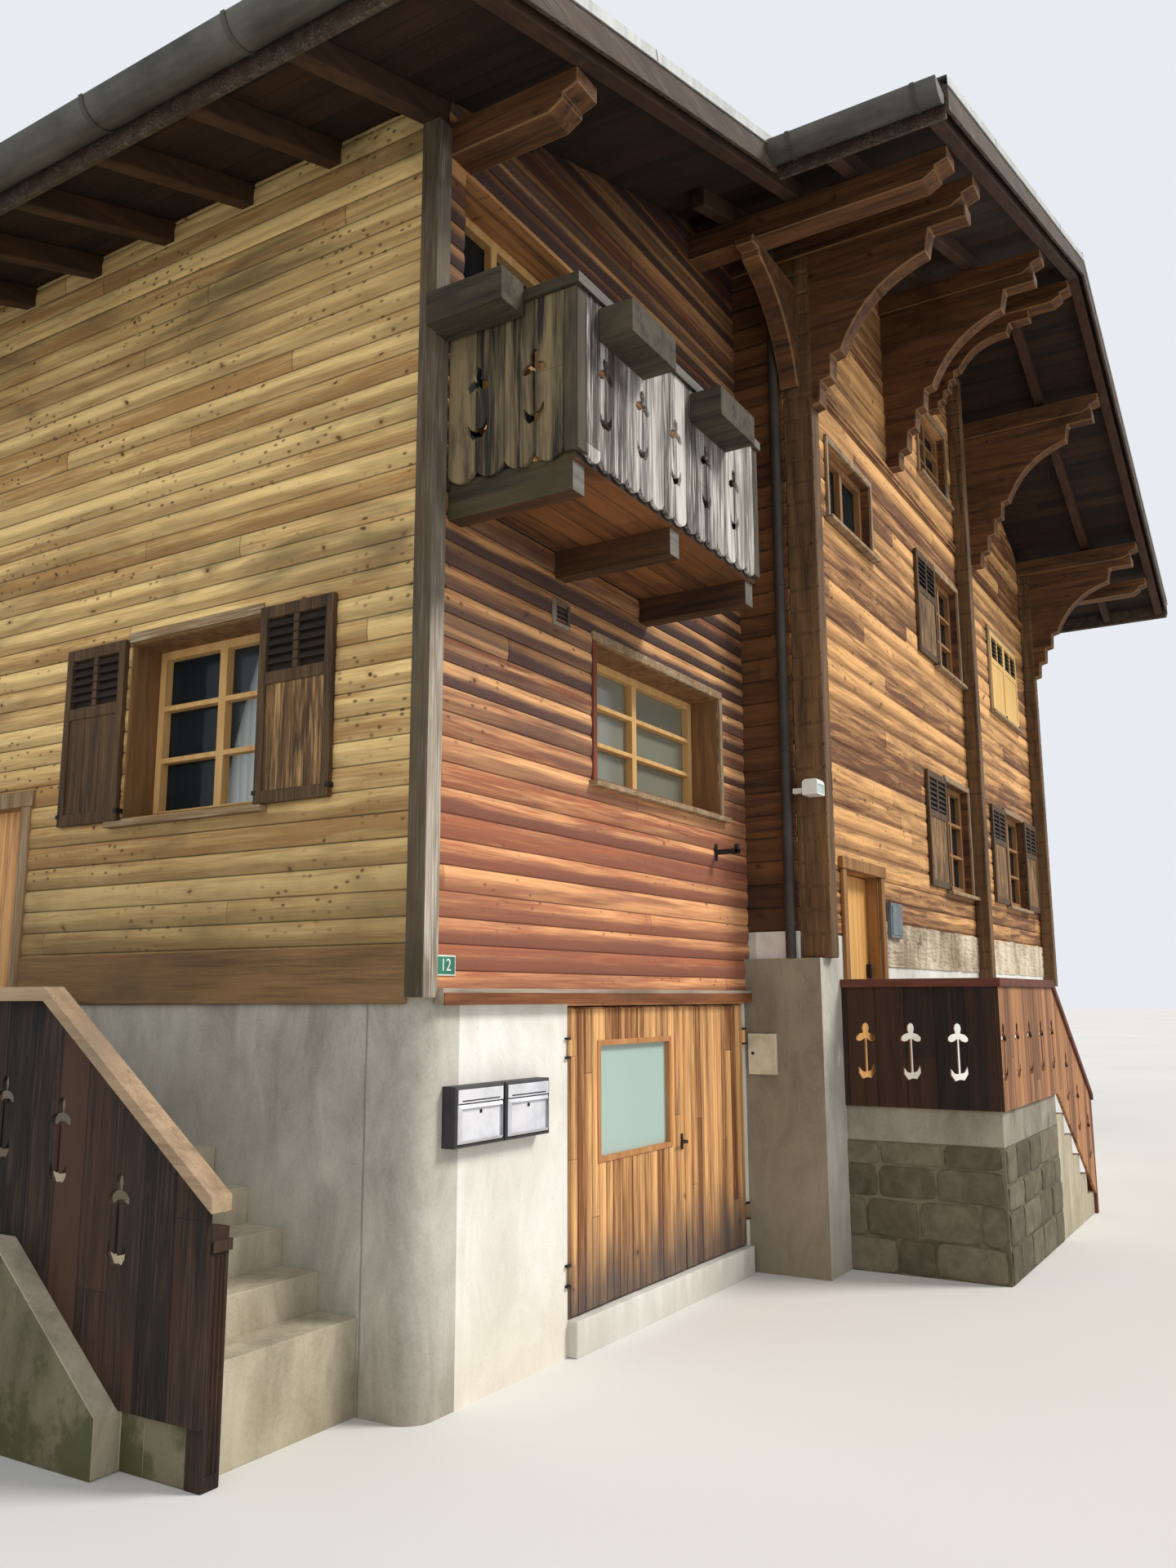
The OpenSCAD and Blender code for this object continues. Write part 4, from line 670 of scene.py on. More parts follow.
def copy(piece, matrix):
    """A second piece with its own mesh, at another place."""
    twin = piece.copy()
    twin.data = piece.data.copy()
    twin.data.transform(matrix)
    bpy.context.collection.objects.link(twin)
    return twin


def join(name, pieces):
    """Several pieces as one mesh."""
    only(*pieces)
    if len(pieces) > 1:
        bpy.ops.object.join()
    made = bpy.context.object
    made.name = name
    return made


def repeat(name, piece, places):
    """Copies of a piece at each place, joined. The pattern piece goes."""
    made = join(name, [copy(piece, place) for place in places])
    bpy.data.objects.remove(piece)
    made.name = name
    return made


def cut(piece, boxes):
    """Cuts boxes, each a pair of corners, out of a piece."""
    for start, end in boxes:
        cutter = cuboid("cutter", start, end)
        modify(piece, "BOOLEAN", object=cutter, operation="DIFFERENCE", solver="EXACT")
        bpy.data.objects.remove(cutter)
    return piece


def trim(piece, point, normal):
    """Cuts away what lies beyond a plane, on the side that the normal points to, and closes the cut."""
    only(piece)
    bpy.ops.object.mode_set(mode="EDIT")
    bpy.ops.mesh.select_all(action="SELECT")
    bpy.ops.mesh.bisect(plane_co=point, plane_no=normal, use_fill=True, clear_outer=True)
    bpy.ops.object.mode_set(mode="OBJECT")
    return piece


def dress(piece, finish, body="root"):
    """Gives a piece its finish in its one material slot, and the body it rides on."""
    piece.data.materials.clear()
    piece.data.materials.append(finish)
    for face in piece.data.polygons:
        face.material_index = 0
    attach(piece, body)
    return piece


def shift(x=0.0, y=0.0, z=0.0):
    """A move along the axes."""
    return Matrix.Translation((x, y, z))


def turn(degrees, axis="Z"):
    """A turn about an axis through the origin."""
    return Matrix.Rotation(math.radians(degrees), 4, axis)


def grown(box, amount, axis=None, reach=0.0):
    """A pair of corners moved apart, and stretched further along one axis."""
    start, end = Vector(box[0]), Vector(box[1])
    step = Vector((amount,) * 3)
    if axis is not None:
        step[axis] = reach
    return start - step, end + step


# Wall boards

BOARD_PROUD = 0.014
WALL_DEPTH = 0.4
eave_line = low("deck_left", Z) - roof_slope * low("deck_left", X)
wall_end = low("front_wall", X) - 0.005
corner_edge = high("annex_trim", Y)


def cladding(name, length, place, top, openings, finish):
    """Horizontal boards with curved faces, from the top of the masonry, cut round the openings.
    A board runs along X with its face to -Y, before it is placed."""
    joint, strips = 0.001, 8
    board = cuboid(name, (0, -BOARD_PROUD, joint), (length, 0.004, BOARD_PITCH - joint))
    bpy.ops.object.mode_set(mode="EDIT")
    for i in range(1, strips):
        bpy.ops.mesh.select_all(action="SELECT")
        bpy.ops.mesh.bisect(plane_co=(0, 0, i * BOARD_PITCH / strips), plane_no=(0, 0, 1))
    bpy.ops.object.mode_set(mode="OBJECT")
    for vertex in board.data.vertices:
        if vertex.co.y < 0:
            height = 2 * vertex.co.z / BOARD_PITCH - 1
            vertex.co.y += 0.55 * BOARD_PROUD * height ** 2 + 0.2 * BOARD_PROUD * height ** 6
    only(board)
    bpy.ops.object.shade_smooth_by_angle(angle=math.radians(30))
    rows = math.ceil((top - annex_base_top) / BOARD_PITCH)
    piece = repeat(name, board, [
        place @ shift(0, chance.uniform(-0.0025, 0.001), annex_base_top + row * BOARD_PITCH)
        for row in range(rows)])
    trim(piece, (0, 0, eave_line - 0.012), (-roof_slope, 0, 1))
    cut(piece, openings)
    return dress(piece, finish)


def on_left(box):
    """Whether an opening lies in the left wall of the annex."""
    return box[0].x < WALL_DEPTH and box[0].y > WALL_DEPTH


def on_front(box):
    """Whether an opening lies in the front wall of the annex."""
    return box[1].y < WALL_DEPTH and box[1].x < wall_end


def on_back(box):
    """Whether an opening lies in the back wall of the annex."""
    return abs(box[1].y - annex_back) < WALL_DEPTH and box[1].x < wall_end


def openings_on(axis, side):
    """Casings, window lights and doors on one wall, stretched through its boards."""
    boxes = [grown(box, 0.001) for box in solids("window_casings") if side(box)]
    return boxes + [grown(box, 0.0, axis, WALL_DEPTH) for box in window_lights + solids("side_door")
                    if side(box)]


front_top = eave_line + roof_slope * wall_end
cladding("left_boards", annex_back - corner_edge, shift(0, annex_back) @ turn(-90), eave_line,
         openings_on(X, on_left), honey_side)
cladding("front_boards", wall_end - corner_edge, shift(corner_edge), front_top,
         openings_on(Y, on_front), red_front)
cladding("back_boards", wall_end, shift(wall_end, annex_back) @ turn(180), front_top,
         openings_on(Y, on_back), honey_back)


def skirt():
    """The weathered board that closes the foot of the left wall."""
    door = solids("side_door")[0]
    board = plank("skirt_board", (-0.024, corner_edge, annex_base_top - 0.03),
                  (0.0, annex_back - 0.01, annex_base_top + 0.25), 0.006)
    cut(board, [grown(door, 0.05, X, WALL_DEPTH)])
    dress(board, skirt_wood)


skirt()


def reveal(name, light, across, through):
    """Plain boards at both sides and over the light of a deep opening. across and through are the axes
    along the wall and into it."""
    gap, thick, deep = 0.001, 0.01, 0.21

    def board(first, last, bottom, top):
        start, end = Vector((0, 0, bottom)), Vector((0, 0, top))
        start[across], end[across] = first, last
        start[through], end[through] = gap, deep
        return plank("reveal", start, end, 0.002)

    near, far, sill, head = light[0][across], light[1][across], light[0].z, light[1].z
    boards = [board(near + gap, near + gap + thick, sill, head),
              board(far - gap - thick, far - gap, sill, head),
              board(near, far, head - gap - thick, head - gap)]
    dress(join(name, boards), reveal_wood)


annex_lights = [box for box in window_lights if box[1].z < low("balcony_deck", Z)]
left_light = next(box for box in annex_lights if on_left(box))
front_light = next(box for box in annex_lights if on_front(box))
reveal("left_reveal", left_light, Y, X)
reveal("front_reveal", front_light, X, Y)


# Shutters

def leaf(width, height):
    """One shutter leaf in the XZ plane, its outer face to -Y: a frame, two columns of louvres
    in the top third and boards below them."""
    deep, stile, rail = 0.032, 0.055, 0.07
    louvres = height * 0.34
    slat_pitch = 0.052
    parts = [plank("leaf", (0, -deep, 0), (stile, 0, height)),
             plank("leaf", (width - stile, -deep, 0), (width, 0, height)),
             plank("leaf", (width / 2 - 0.02, -deep + 0.002, height - louvres),
                   (width / 2 + 0.02, -0.002, height - rail))]
    for z in (0, height - louvres - rail, height - rail):
        parts.append(plank("leaf", (stile, -deep + 0.001, z), (width - stile, -0.001, z + rail)))
    slat = plank("slat", (stile - 0.004, -0.004, -0.028), (width - stile + 0.004, 0.004, 0.028), 0.002, 1)
    count = int((louvres - rail) / slat_pitch)
    # A dark board behind the slats stands in for the shade inside the louvres: painted shade.
    slats = [plank("back", (stile, -0.004, height - louvres), (width - stile, 0, height - rail), 0.001, 1)]
    slats.append(repeat("slats", slat, [
        shift(0, -deep / 2, height - rail - 0.03 - i * slat_pitch) @ turn(-30, "X") for i in range(count)]))
    boards = 3
    step = (width - 2 * stile) / boards
    board = cuboid("board", (stile + 0.001, -deep + 0.009, rail - 0.004),
                   (stile + step - 0.002, -0.006, height - louvres - rail + 0.004))
    ease(board, lambda p: p.y < -deep + 0.01, 0.005, 2)
    panel = repeat("panel", board, [shift(i * step) for i in range(boards)])
    return join("leaf", parts), panel, join("louvres", slats)


def shutters():
    """Every leaf of the frame in its full form, standing just off the wall boards. The pair on the upper
    storey at the right is closed and pale, and the panels that the sun reaches are worn."""
    upper_storey = high("main_upper_floor", Z)
    sets = {"dark": [], "worn": [], "louvre": [], "pale": []}
    for start, end in solids("shutters"):
        side = end.x - start.x < end.y - start.y
        width = (end.y - start.y) if side else (end.x - start.x)
        wood, panel, slats = leaf(width, end.z - start.z)
        if side:
            place = shift(-0.016, end.y, start.z) @ turn(-90)
        else:
            place = shift(start.x, end.y - 0.004, start.z)
        for piece in (wood, panel, slats):
            piece.data.transform(place)
        sets["louvre"].append(slats)
        if start.x > ridge_x and start.z > upper_storey:
            sets["pale"] += [wood, panel]
        else:
            sets["dark"].append(wood)
            sets["worn" if not side or start.y < left_light[0].y else "dark"].append(panel)
    finishes = {"dark": shutter_wood, "worn": worn_panel, "louvre": shaded_louvre_wood, "pale": pale_shutter}
    for kind, pieces in sets.items():
        piece = dress(join("shutters_" + kind, pieces), finishes[kind])
        if kind == "dark":
            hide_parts("shutters")
    hooks = []
    for start, end in solids("shutters"):
        if end.x - start.x < end.y - start.y:
            for y in (start.y - 0.01, end.y - 0.02):
                hooks.append(plank("hook", (-0.052, y, start.z + 0.05),
                                   (0.0, y + 0.03, start.z + 0.075), 0.003))
        else:
            hooks.append(plank("hook", (end.x - 0.05, end.y - 0.045, start.z - 0.02),
                               (end.x - 0.02, end.y, start.z + 0.03), 0.003))
    dress(join("shutter_hooks", hooks), iron)


shutters()


# Garage door

def garage():
    """Upright boards, the pane's casing and the handle of the two leaves."""
    proud, rim, hinge_gap, meeting_gap = 0.012, 0.028, 0.03, 0.003
    glass_start, glass_end = solids("garage_left_glass")[0]
    leaves = (("garage_left_leaf", "garage_left", True), ("garage_right_leaf", "garage_right", False))
    for node, body, hinged_left in leaves:
        start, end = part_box(node)
        left = start[X] + (hinge_gap if hinged_left else meeting_gap)
        right = end[X] - (meeting_gap if hinged_left else hinge_gap)
        count = round((right - left) / GARAGE_BOARD)
        step = (right - left) / count
        board = cuboid("board", (left + 0.001, -proud, start[Z] + 0.006),
                       (left + step - 0.0025, 0.0, end[Z] - 0.006))
        ease(board, lambda p: p.y < -0.01, 0.004, 2)
        boards = repeat(node + "_boards", board, [
            shift(i * step, chance.uniform(0, 0.003), chance.uniform(-0.003, 0.003)) for i in range(count)])
        if hinged_left:
            cut(boards, [grown((glass_start, glass_end), rim, Y, 0.2)])
        dress(boards, door_wood, body)
    x0, z0, x1, z1 = glass_start.x, glass_start.z, glass_end.x, glass_end.z
    casing = plank("pane_casing", (x0 - rim, -proud - 0.006, z0 - rim), (x1 + rim, 0.012, z1 + rim), 0.004)
    cut(casing, [((x0 + 0.004, -0.1, z0 + 0.004), (x1 - 0.004, 0.1, z1 - 0.004))])
    dress(casing, pane_trim, "garage_left")
    pull = plank("garage_handle", (0, -0.008, -0.05), (0.022, 0, 0.05), 0.003)
    bar = plank("bar", (0.004, -0.045, -0.011), (0.018, -0.006, 0.011), 0.004, 3)
    lever = plank("lever", (-0.07, -0.045, -0.008), (0.018, -0.03, 0.008), 0.005, 3)
    handle = join("garage_handle", [pull, bar, lever])
    handle_height, lock_stile = 1.0, 0.06
    handle.data.transform(shift(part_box("garage_left_leaf")[1][X] - lock_stile, -proud, handle_height))
    dress(handle, iron, "garage_left")


garage()


# Small things on the walls

def letterboxes():
    """Two steel letterboxes: a dark case, a pale door with its lock, and a flap over the slot."""
    cases, fronts, dark = [], [], []
    rim, joint = 0.018, 0.003
    for start, end in solids("letterboxes"):
        case = cuboid("case", start, end)
        ease(case, lambda p: p.y < -0.01, 0.006, 3)
        sink(case, lambda p: p.y < start.y + 0.001, 0.012, (0, 0.008, 0))
        cases.append(case)
        x0, x1, flap_z = start.x + rim, end.x - rim, end.z - 0.085
        door = cuboid("door", (x0, start.y - 0.004, start.z + rim), (x1, start.y + 0.012, flap_z - joint))
        ease(door, lambda p: p.y < start.y, 0.003, 2)
        sink(door, lambda p: p.y < start.y - 0.003, 0.02, (0, 0.0015, 0))
        flap = cuboid("flap", (x0, start.y - 0.008, flap_z + joint), (x1, start.y + 0.012, end.z - 0.016))
        ease(flap, lambda p: p.y < start.y, 0.004, 3)
        fronts += [door, flap]
        middle = (x0 + x1) / 2
        dark.append(plank("lock", (middle - 0.009, start.y - 0.008, flap_z - 0.05),
                          (middle + 0.009, start.y, flap_z - 0.032), 0.005, 3))
        dark.append(plank("slot", (x0 + 0.03, start.y - 0.0095, flap_z + 0.012),
                          (x1 - 0.03, start.y - 0.004, flap_z + 0.018), 0.001, 1))
    body = dress(join("letterbox_cases", cases), box_frame)
    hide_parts("letterboxes")
    dress(join("letterbox_fronts", fronts), box_grey)
    dress(join("letterbox_locks", dark), iron)


def number_plate():
    """A small enamel plate with a pale rim and a plain number."""
    x0, x1, z0, z1, face, rim = 0.075, 0.235, 2.03, 2.13, -BOARD_PROUD, 0.007
    plate = cuboid("house_plate", (x0, face - 0.006, z0), (x1, face, z1))
    ease(plate, lambda p: p.y < face - 0.003, 0.002, 2)
    dress(plate, plate_white)
    field = cuboid("house_plate_field", (x0 + rim, face - 0.0072, z0 + rim),
                   (x1 - rim, face - 0.005, z1 - rim))
    ease(field, lambda p: p.y < face - 0.006, 0.0006, 1)
    dress(field, green_plate)
    deselect()
    bpy.ops.object.text_add()
    number = bpy.context.object
    number.name = "house_number"
    number.data.body = "12"
    number.data.size = 0.085
    number.data.extrude = 0.0006
    number.data.align_x = "CENTER"
    number.data.align_y = "CENTER"
    only(number)
    bpy.ops.object.convert(target="MESH")
    number.data.transform(shift((x0 + x1) / 2, face - 0.0078, (z0 + z1) / 2) @ turn(90, "X"))
    dress(number, plate_white)


def ledge():
    """The dark board under the pale top of the drip ledge over the garage."""
    start, end = drip_ledge
    board = plank("ledge_board", (start.x + 0.004, start.y - 0.006, start.z - 0.002),
                  (end.x - 0.004, start.y + 0.006, end.z - 0.022), 0.002)
    dress(board, ledge_board)


def vent():
    """A small framed air hole under the balcony, with its slats."""
    x0, x1, z0, z1, face = 1.12, 1.30, 4.08, 4.24, -BOARD_PROUD
    rim, slat_pitch, slat_count = 0.018, 0.03, 4
    border = cuboid("vent_frame", (x0, face - 0.012, z0), (x1, face + 0.004, z1))
    ease(border, lambda p: p.y < face, 0.003, 2)
    sink(border, lambda p: p.y < face - 0.011, 0.02, (0, 0.02, 0))
    dress(border, silver_trim)
    slat = plank("slat", (x0 + rim, -0.003, -0.014), (x1 - rim, 0.003, 0.014), 0.001, 1)
    slats = repeat("vent_slats", slat, [
        shift(0, face, z0 + 0.035 + i * slat_pitch) @ turn(-40, "X") for i in range(slat_count)])
    dress(slats, iron)


def wall_hook():
    """An iron bracket with an upturned end, fixed to the front boards."""
    x, z, half, reach = 3.30, 2.95, 0.018, 0.2
    back = plank("wall_hook", (x - 0.02, -BOARD_PROUD - 0.008, z - 0.06),
                 (x + 0.02, -BOARD_PROUD, z + 0.06), 0.003)
    arm = plank("arm", (x - half, -reach, z - half), (x + half, -0.02, z + half), 0.006, 3)
    tip = plank("tip", (x - half, -reach, z - half), (x + half, 0.035 - reach, z + 0.05), 0.006, 3)
    dress(join("wall_hook", [back, arm, tip]), iron)


def wall_lamp():
    """The small pale lamp at the meeting of the two fronts: a cowl on a bracket."""
    start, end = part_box("floodlight")
    body = cuboid("lamp_cowl", start, end)
    ease(body, lambda p: p.z > start[Z] + 0.01, 0.03, 4)
    sink(body, lambda p: p.y < start[Y] + 0.001, 0.012, (0, 0.02, 0))
    arris(body, 0.003)
    dress(body, plate_white)
    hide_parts("floodlight")
    rim, stem_x = 0.016, 3.81
    eye = plank("lamp_lens", (start[X] + rim, start[Y] + 0.008, start[Z] + rim),
                (end[X] - rim, start[Y] + 0.03, end[Z] - 0.034), 0.006, 3)
    dress(eye, frosted)
    stem = plank("lamp_stem", (stem_x - 0.02, end[Y] - 0.01, start[Z] + 0.03),
                 (stem_x + 0.02, main_front, start[Z] + 0.07), 0.006, 3)
    dress(stem, plate_white)


def meter_hatch():
    """A flush hatch with a sunk panel, a raised rim and a lock."""
    start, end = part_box("meter_box")
    door = cuboid("meter_hatch", start, end)
    ease(door, lambda p: p.x < start[X] + 0.001, 0.004, 2)
    sink(door, lambda p: p.x < start[X] + 0.001, 0.018, (0.006, 0, 0))
    dress(door, ivory)
    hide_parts("meter_box")
    lock_y, lock_z, half = -0.065, 1.52, 0.01
    lock = plank("meter_lock", (start[X] - 0.004, lock_y - half, lock_z - half),
                 (start[X] + 0.01, lock_y + half, lock_z + half), 0.005, 3)
    dress(lock, iron)


def fuse_box():
    """The grey box on the main front beside the terrace door, with its lid."""
    x0, x1, z0, z1, face, deep = 5.9, 6.24, 2.43, 2.74, main_front, 0.05
    box = cuboid("fuse_box", (x0, face - deep, z0), (x1, face, z1))
    ease(box, lambda p: p.y < face - 0.01, 0.008, 3)
    sink(box, lambda p: p.y < face - deep + 0.001, 0.02, (0, -0.006, 0))
    dress(box, meter_grey)


letterboxes()
number_plate()
ledge()
vent()
wall_hook()
wall_lamp()
meter_hatch()
fuse_box()


# Masonry of the terrace

def field_stone(name):
    """A weathered block about one metre each way, to be fitted to its place."""
    stone = cuboid(name, (-0.5, -0.5, -0.5), (0.5, 0.5, 0.5))
    ease(stone, lambda p: True, 0.11, 2)
    modify(stone, "SUBSURF", levels=1, render_levels=1)
    for vertex in stone.data.vertices:
        vertex.co += Vector([chance.uniform(-0.025, 0.025) for _ in range(3)])
    return stone


def set_lots(piece, size):
    """A random number for each of the like parts of a joined piece, for its colour."""
    mesh = piece.data
    lot = mesh.attributes.new("lot", "FLOAT", "POINT")
    count = len(mesh.vertices) // size
    values = np.repeat([chance.random() for _ in range(count + 1)], size)[:len(mesh.vertices)]
    lot.data.foreach_set("value", values.astype(np.float32))


def rough_wall(name, place, length, height):
    """Stones in broken courses, set into a wall whose face is local -Y."""
    pattern = field_stone("stone")
    size = len(pattern.data.vertices)
    gap_x, gap_z, thick, sunk = 0.006, 0.007, 0.09, 0.032
    places = []
    z = 0.0
    while z < height - 0.05:
        tall = min(chance.uniform(0.18, 0.30), height - z)
        if height - z - tall < 0.12:
            tall = height - z
        x = 0.0
        while x < length - 0.03:
            wide = min(chance.uniform(0.26, 0.6), length - x)
            if length - x - wide < 0.16:
                wide = length - x
            low_z = max(tall * chance.uniform(-0.04, 0.04), -z)
            centre = shift(x + wide / 2, sunk + chance.uniform(-0.003, 0.005), z + tall / 2 + low_z / 2)
            shape = Matrix.Diagonal((wide - gap_x, thick, tall - gap_z - abs(low_z), 1))
            places.append(place @ centre @ turn(chance.uniform(-1.5, 1.5), "Y") @ shape)
            x += wide
        z += tall
    piece = repeat(name, pattern, places)
    set_lots(piece, size)
    only(piece)
    bpy.ops.object.shade_smooth_by_angle(angle=math.radians(50))
    return dress(piece, stones)


plinth_start, plinth_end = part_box("terrace_plinth")
rough_wall("terrace_front_stones", shift(plinth_start[X] + 0.012, plinth_start[Y]),
           plinth_end[X] - plinth_start[X] - 0.02, plinth_end[Z])
rough_wall("terrace_left_stones", shift(plinth_start[X], plinth_end[Y]) @ turn(-90),
           plinth_end[Y] - plinth_start[Y] - 0.012, plinth_end[Z])


# Roof covering and its metalwork

COURSE, SLATE_WIDTH = 0.34, 0.44
roof_angle = math.atan(roof_slope)
run = 1 / math.cos(roof_angle)
roof_back, roof_front = high("cover_left", Y), low("cover_left", Y)
left_eave = low("cover_left", X)
inner = [v.co for v in nodes["cover_left"].data.vertices if roof_front + 0.1 < v.co.y < 0]
annex_verge, main_eave = min(p.y for p in inner), max(p.x for p in inner)
down_right = shift(ridge_x, 0, ridge_z) @ turn(math.degrees(roof_angle), "Y")
down_left = shift(ridge_x, 0, ridge_z) @ turn(-math.degrees(roof_angle), "Y") @ turn(180)


def slating(name, slope, first, last, start, end):
    """Slates on one slope, from a distance below the ridge to another, between two places along the ridge.
    Each course laps the one below it, its tails standing proud of the cover."""
    lap, gap, half, sliver = 0.06, 0.006, 0.007, 0.02
    slate_piece = cuboid("slate", (0, 0, -half), (COURSE + lap, SLATE_WIDTH - gap, half))
    ease(slate_piece, lambda p: p.x > COURSE, 0.006, 1)
    size = len(slate_piece.data.vertices)
    places = []
    for course in range(math.ceil((last - first) / COURSE)):
        at = first + course * COURSE
        offset = (course % 2) * SLATE_WIDTH / 2
        for i in range(-1, math.ceil((end - start) / SLATE_WIDTH) + 1):
            along = start + i * SLATE_WIDTH - offset
            if along + SLATE_WIDTH < start + sliver or along > end - sliver:
                continue
            jitter = shift(chance.uniform(-0.008, 0.008), chance.uniform(-0.003, 0.003),
                           chance.uniform(-0.002, 0.002))
            tilt = turn(-2.0 + chance.uniform(-0.5, 0.4), "Y")
            skew = turn(chance.uniform(-0.7, 0.7))
            places.append(slope @ shift(at, along, 0.004) @ jitter @ tilt @ skew)
    piece = repeat(name, slate_piece, places)
    set_lots(piece, size)
    world = [slope @ Vector((0, start, 0)), slope @ Vector((0, end, 0))]
    trim(piece, (0, min(p.y for p in world), 0), (0, -1, 0))
    trim(piece, (0, max(p.y for p in world), 0), (0, 1, 0))
    edge = slope @ Vector((last, 0, 0))
    trim(piece, (edge.x, 0, 0), (math.copysign(1, edge.x - ridge_x), 0, 0))
    return dress(piece, slates)


first_course, eave_over, verge_gap = 0.06, 0.02, 0.02
main_run = (ridge_x - main_eave) * run
annex_run = (ridge_x - left_eave) * run
right_run = (high("cover_right", X) - ridge_x) * run
slating("right_slates", down_right, first_course, right_run + eave_over,
        roof_front + verge_gap, roof_back - verge_gap)
slating("left_slates", down_left, first_course, main_run, -roof_back + verge_gap, -roof_front - verge_gap)
slating("annex_slates", down_left, main_run, annex_run + eave_over,
        -roof_back + verge_gap, -annex_verge - verge_gap)

SHEET_ARRIS, SHEET_LENGTH = 0.0012, 2.0


def sheet_strip(name, slope, first, last, start, end, low_side, drop):
    """A folded metal strip along a verge: a flat top and a face that hangs at its low or high side."""
    under, over, sheet, lip_reach = 0.034, 0.038, 0.004, 0.010
    top = cuboid(name, (first, start, under), (last, end, over))
    face_y = start if low_side else end
    face = cuboid("face", (first, face_y - (sheet if low_side else 0), over - drop),
                  (last, face_y + (0 if low_side else sheet), over))
    lip_y = face_y + (-lip_reach if low_side else lip_reach)
    lip = cuboid("lip", (first, min(face_y, lip_y), under - drop),
                 (last, max(face_y, lip_y), under + 0.006 - drop))
    piece = join(name, [top, face, lip])
    arris(piece, SHEET_ARRIS)
    piece.data.transform(slope)
    return dress(piece, bright_zinc)


def verges():
    """Bright flashing along the sloping edges, in lengths that lap."""
    barge, wide, drop, over = 0.026, 0.09, 0.07, 0.03
    edges = [("right_verge", down_right, 0.0, right_run + over, roof_front - barge, True),
             ("right_back_verge", down_right, 0.0, right_run + over, roof_back + barge, False),
             ("left_verge", down_left, 0.0, main_run, -roof_front + barge, False),
             ("left_back_verge", down_left, 0.0, annex_run + over, -roof_back - barge, True),
             ("annex_verge", down_left, main_run - 0.05, annex_run + over, -annex_verge + barge, False)]
    for name, slope, first, last, edge, low_side in edges:
        lengths = math.ceil((last - first) / SHEET_LENGTH)
        step = (last - first) / lengths
        inside = edge + (wide if low_side else -wide)
        for i in range(lengths):
            strip = slope @ shift(0, 0, 0.0015 * (i % 2))
            sheet_strip(f"{name}_{i + 1}", strip, first + i * step, first + (i + 1) * step + 0.02,
                        min(edge, inside), max(edge, inside), low_side, drop)


def ridge_cap():
    """The cap of the ridge, in lengths that lap: two wings and a roll along the top."""
    count, wing, lap, over = 6, 0.17, 0.03, 0.025
    step = (roof_back - roof_front + 2 * over) / count
    for i in range(count):
        start = roof_front - over + i * step
        end = start + step
        right = cuboid("ridge_cap", (-0.004, start, 0.036), (wing, end + lap, 0.040))
        left = cuboid("ridge_cap", (-0.004, -end - lap, 0.036), (wing, -start, 0.040))
        for side, slope in ((right, down_right), (left, down_left)):
            arris(side, SHEET_ARRIS)
            side.data.transform(slope @ shift(0, 0, 0.0012 * (i % 2)))
        roll = cylinder(0.026, step + 0.01, (ridge_x, (start + end) / 2, ridge_z + 0.038), 20, lying=True)
        arris(roll, 0.004)
        dress(join(f"ridge_cap_{i + 1}", [right, left, roll]), zinc)


verges()
ridge_cap()


def gutter_straps():
    """Iron straps that hold each gutter, hooked over its outer rim, about every metre."""
    straps = []
    spacing, end_gap = 0.95, 0.15
    for start, end in solids("gutters"):
        length = end.y - start.y
        if length < 1.0:
            continue
        radius = (end.x - start.x) / 2 + 0.003
        strap = cylinder(radius, 0.028, ((start.x + end.x) / 2, 0, end.z), 32, lying=True, ends="NOTHING")
        bpy.ops.object.mode_set(mode="EDIT")
        bpy.ops.mesh.select_all(action="SELECT")
        bpy.ops.mesh.bisect(plane_co=(0, 0, end.z + 0.001), plane_no=(0, 0, 1), clear_outer=True)
        bpy.ops.object.mode_set(mode="OBJECT")
        modify(strap, "SOLIDIFY", thickness=0.004, offset=1.0)
        count = max(2, round(length / spacing))
        step = (length - 2 * end_gap) / (count - 1)
        straps.append(repeat("straps", strap, [shift(0, start.y + end_gap + i * step) for i in range(count)]))
    dress(join("gutter_straps", straps), strap_metal)


gutter_straps()


def downpipe_fittings():
    """Clips round the downpipe, each with a tail into the wall."""
    heights = (2.45, 3.75, 5.05, 6.35, 7.55)
    start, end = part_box("downpipe")
    x, y, radius = (start[X] + end[X]) / 2, (start[Y] + end[Y]) / 2, (end[X] - start[X]) / 2
    ring = arris(cylinder(radius + 0.006, 0.03, (x, y, 0), 24), 0.003)
    tail = plank("tail", (x, y - 0.01, -0.012), (main_x + 0.01, y + 0.01, 0.012), 0.003)
    clip = join("clip", [ring, tail])
    clips = repeat("downpipe_clips", clip, [shift(0, 0, z) for z in heights])
    dress(clips, dark_zinc)


downpipe_fittings()


# Main front

def masonry_strip():
    """The rough white band of mortar under the logs of the main front."""
    door_end = low("front_wall_beside_door", X)
    band = cuboid("mortar_band", (door_end + 0.12, main_front - 0.012, main_base_top - 0.22),
                  (main_right - 0.02, main_front + 0.01, main_base_top + 0.16))
    choose(band, "EDGE", lambda p: True)
    bpy.ops.mesh.subdivide(number_cuts=3)
    bpy.ops.object.mode_set(mode="OBJECT")
    modify(band, "SUBSURF", subdivision_type="SIMPLE", levels=4, render_levels=4)
    for vertex in band.data.vertices:
        p = vertex.co
        if p.y < main_front - 0.001:
            p.y += 0.010 * noise(p * 14.0) + 0.008 * noise(p * 45.0)
        if p.z > main_base_top + 0.1:
            p.z += 0.02 * noise(Vector((p.x * 2.0, 0, 0))) + 0.02 * noise(Vector((p.x * 11.0, 4, 0)))
    dress(band, rough_mortar)


masonry_strip()


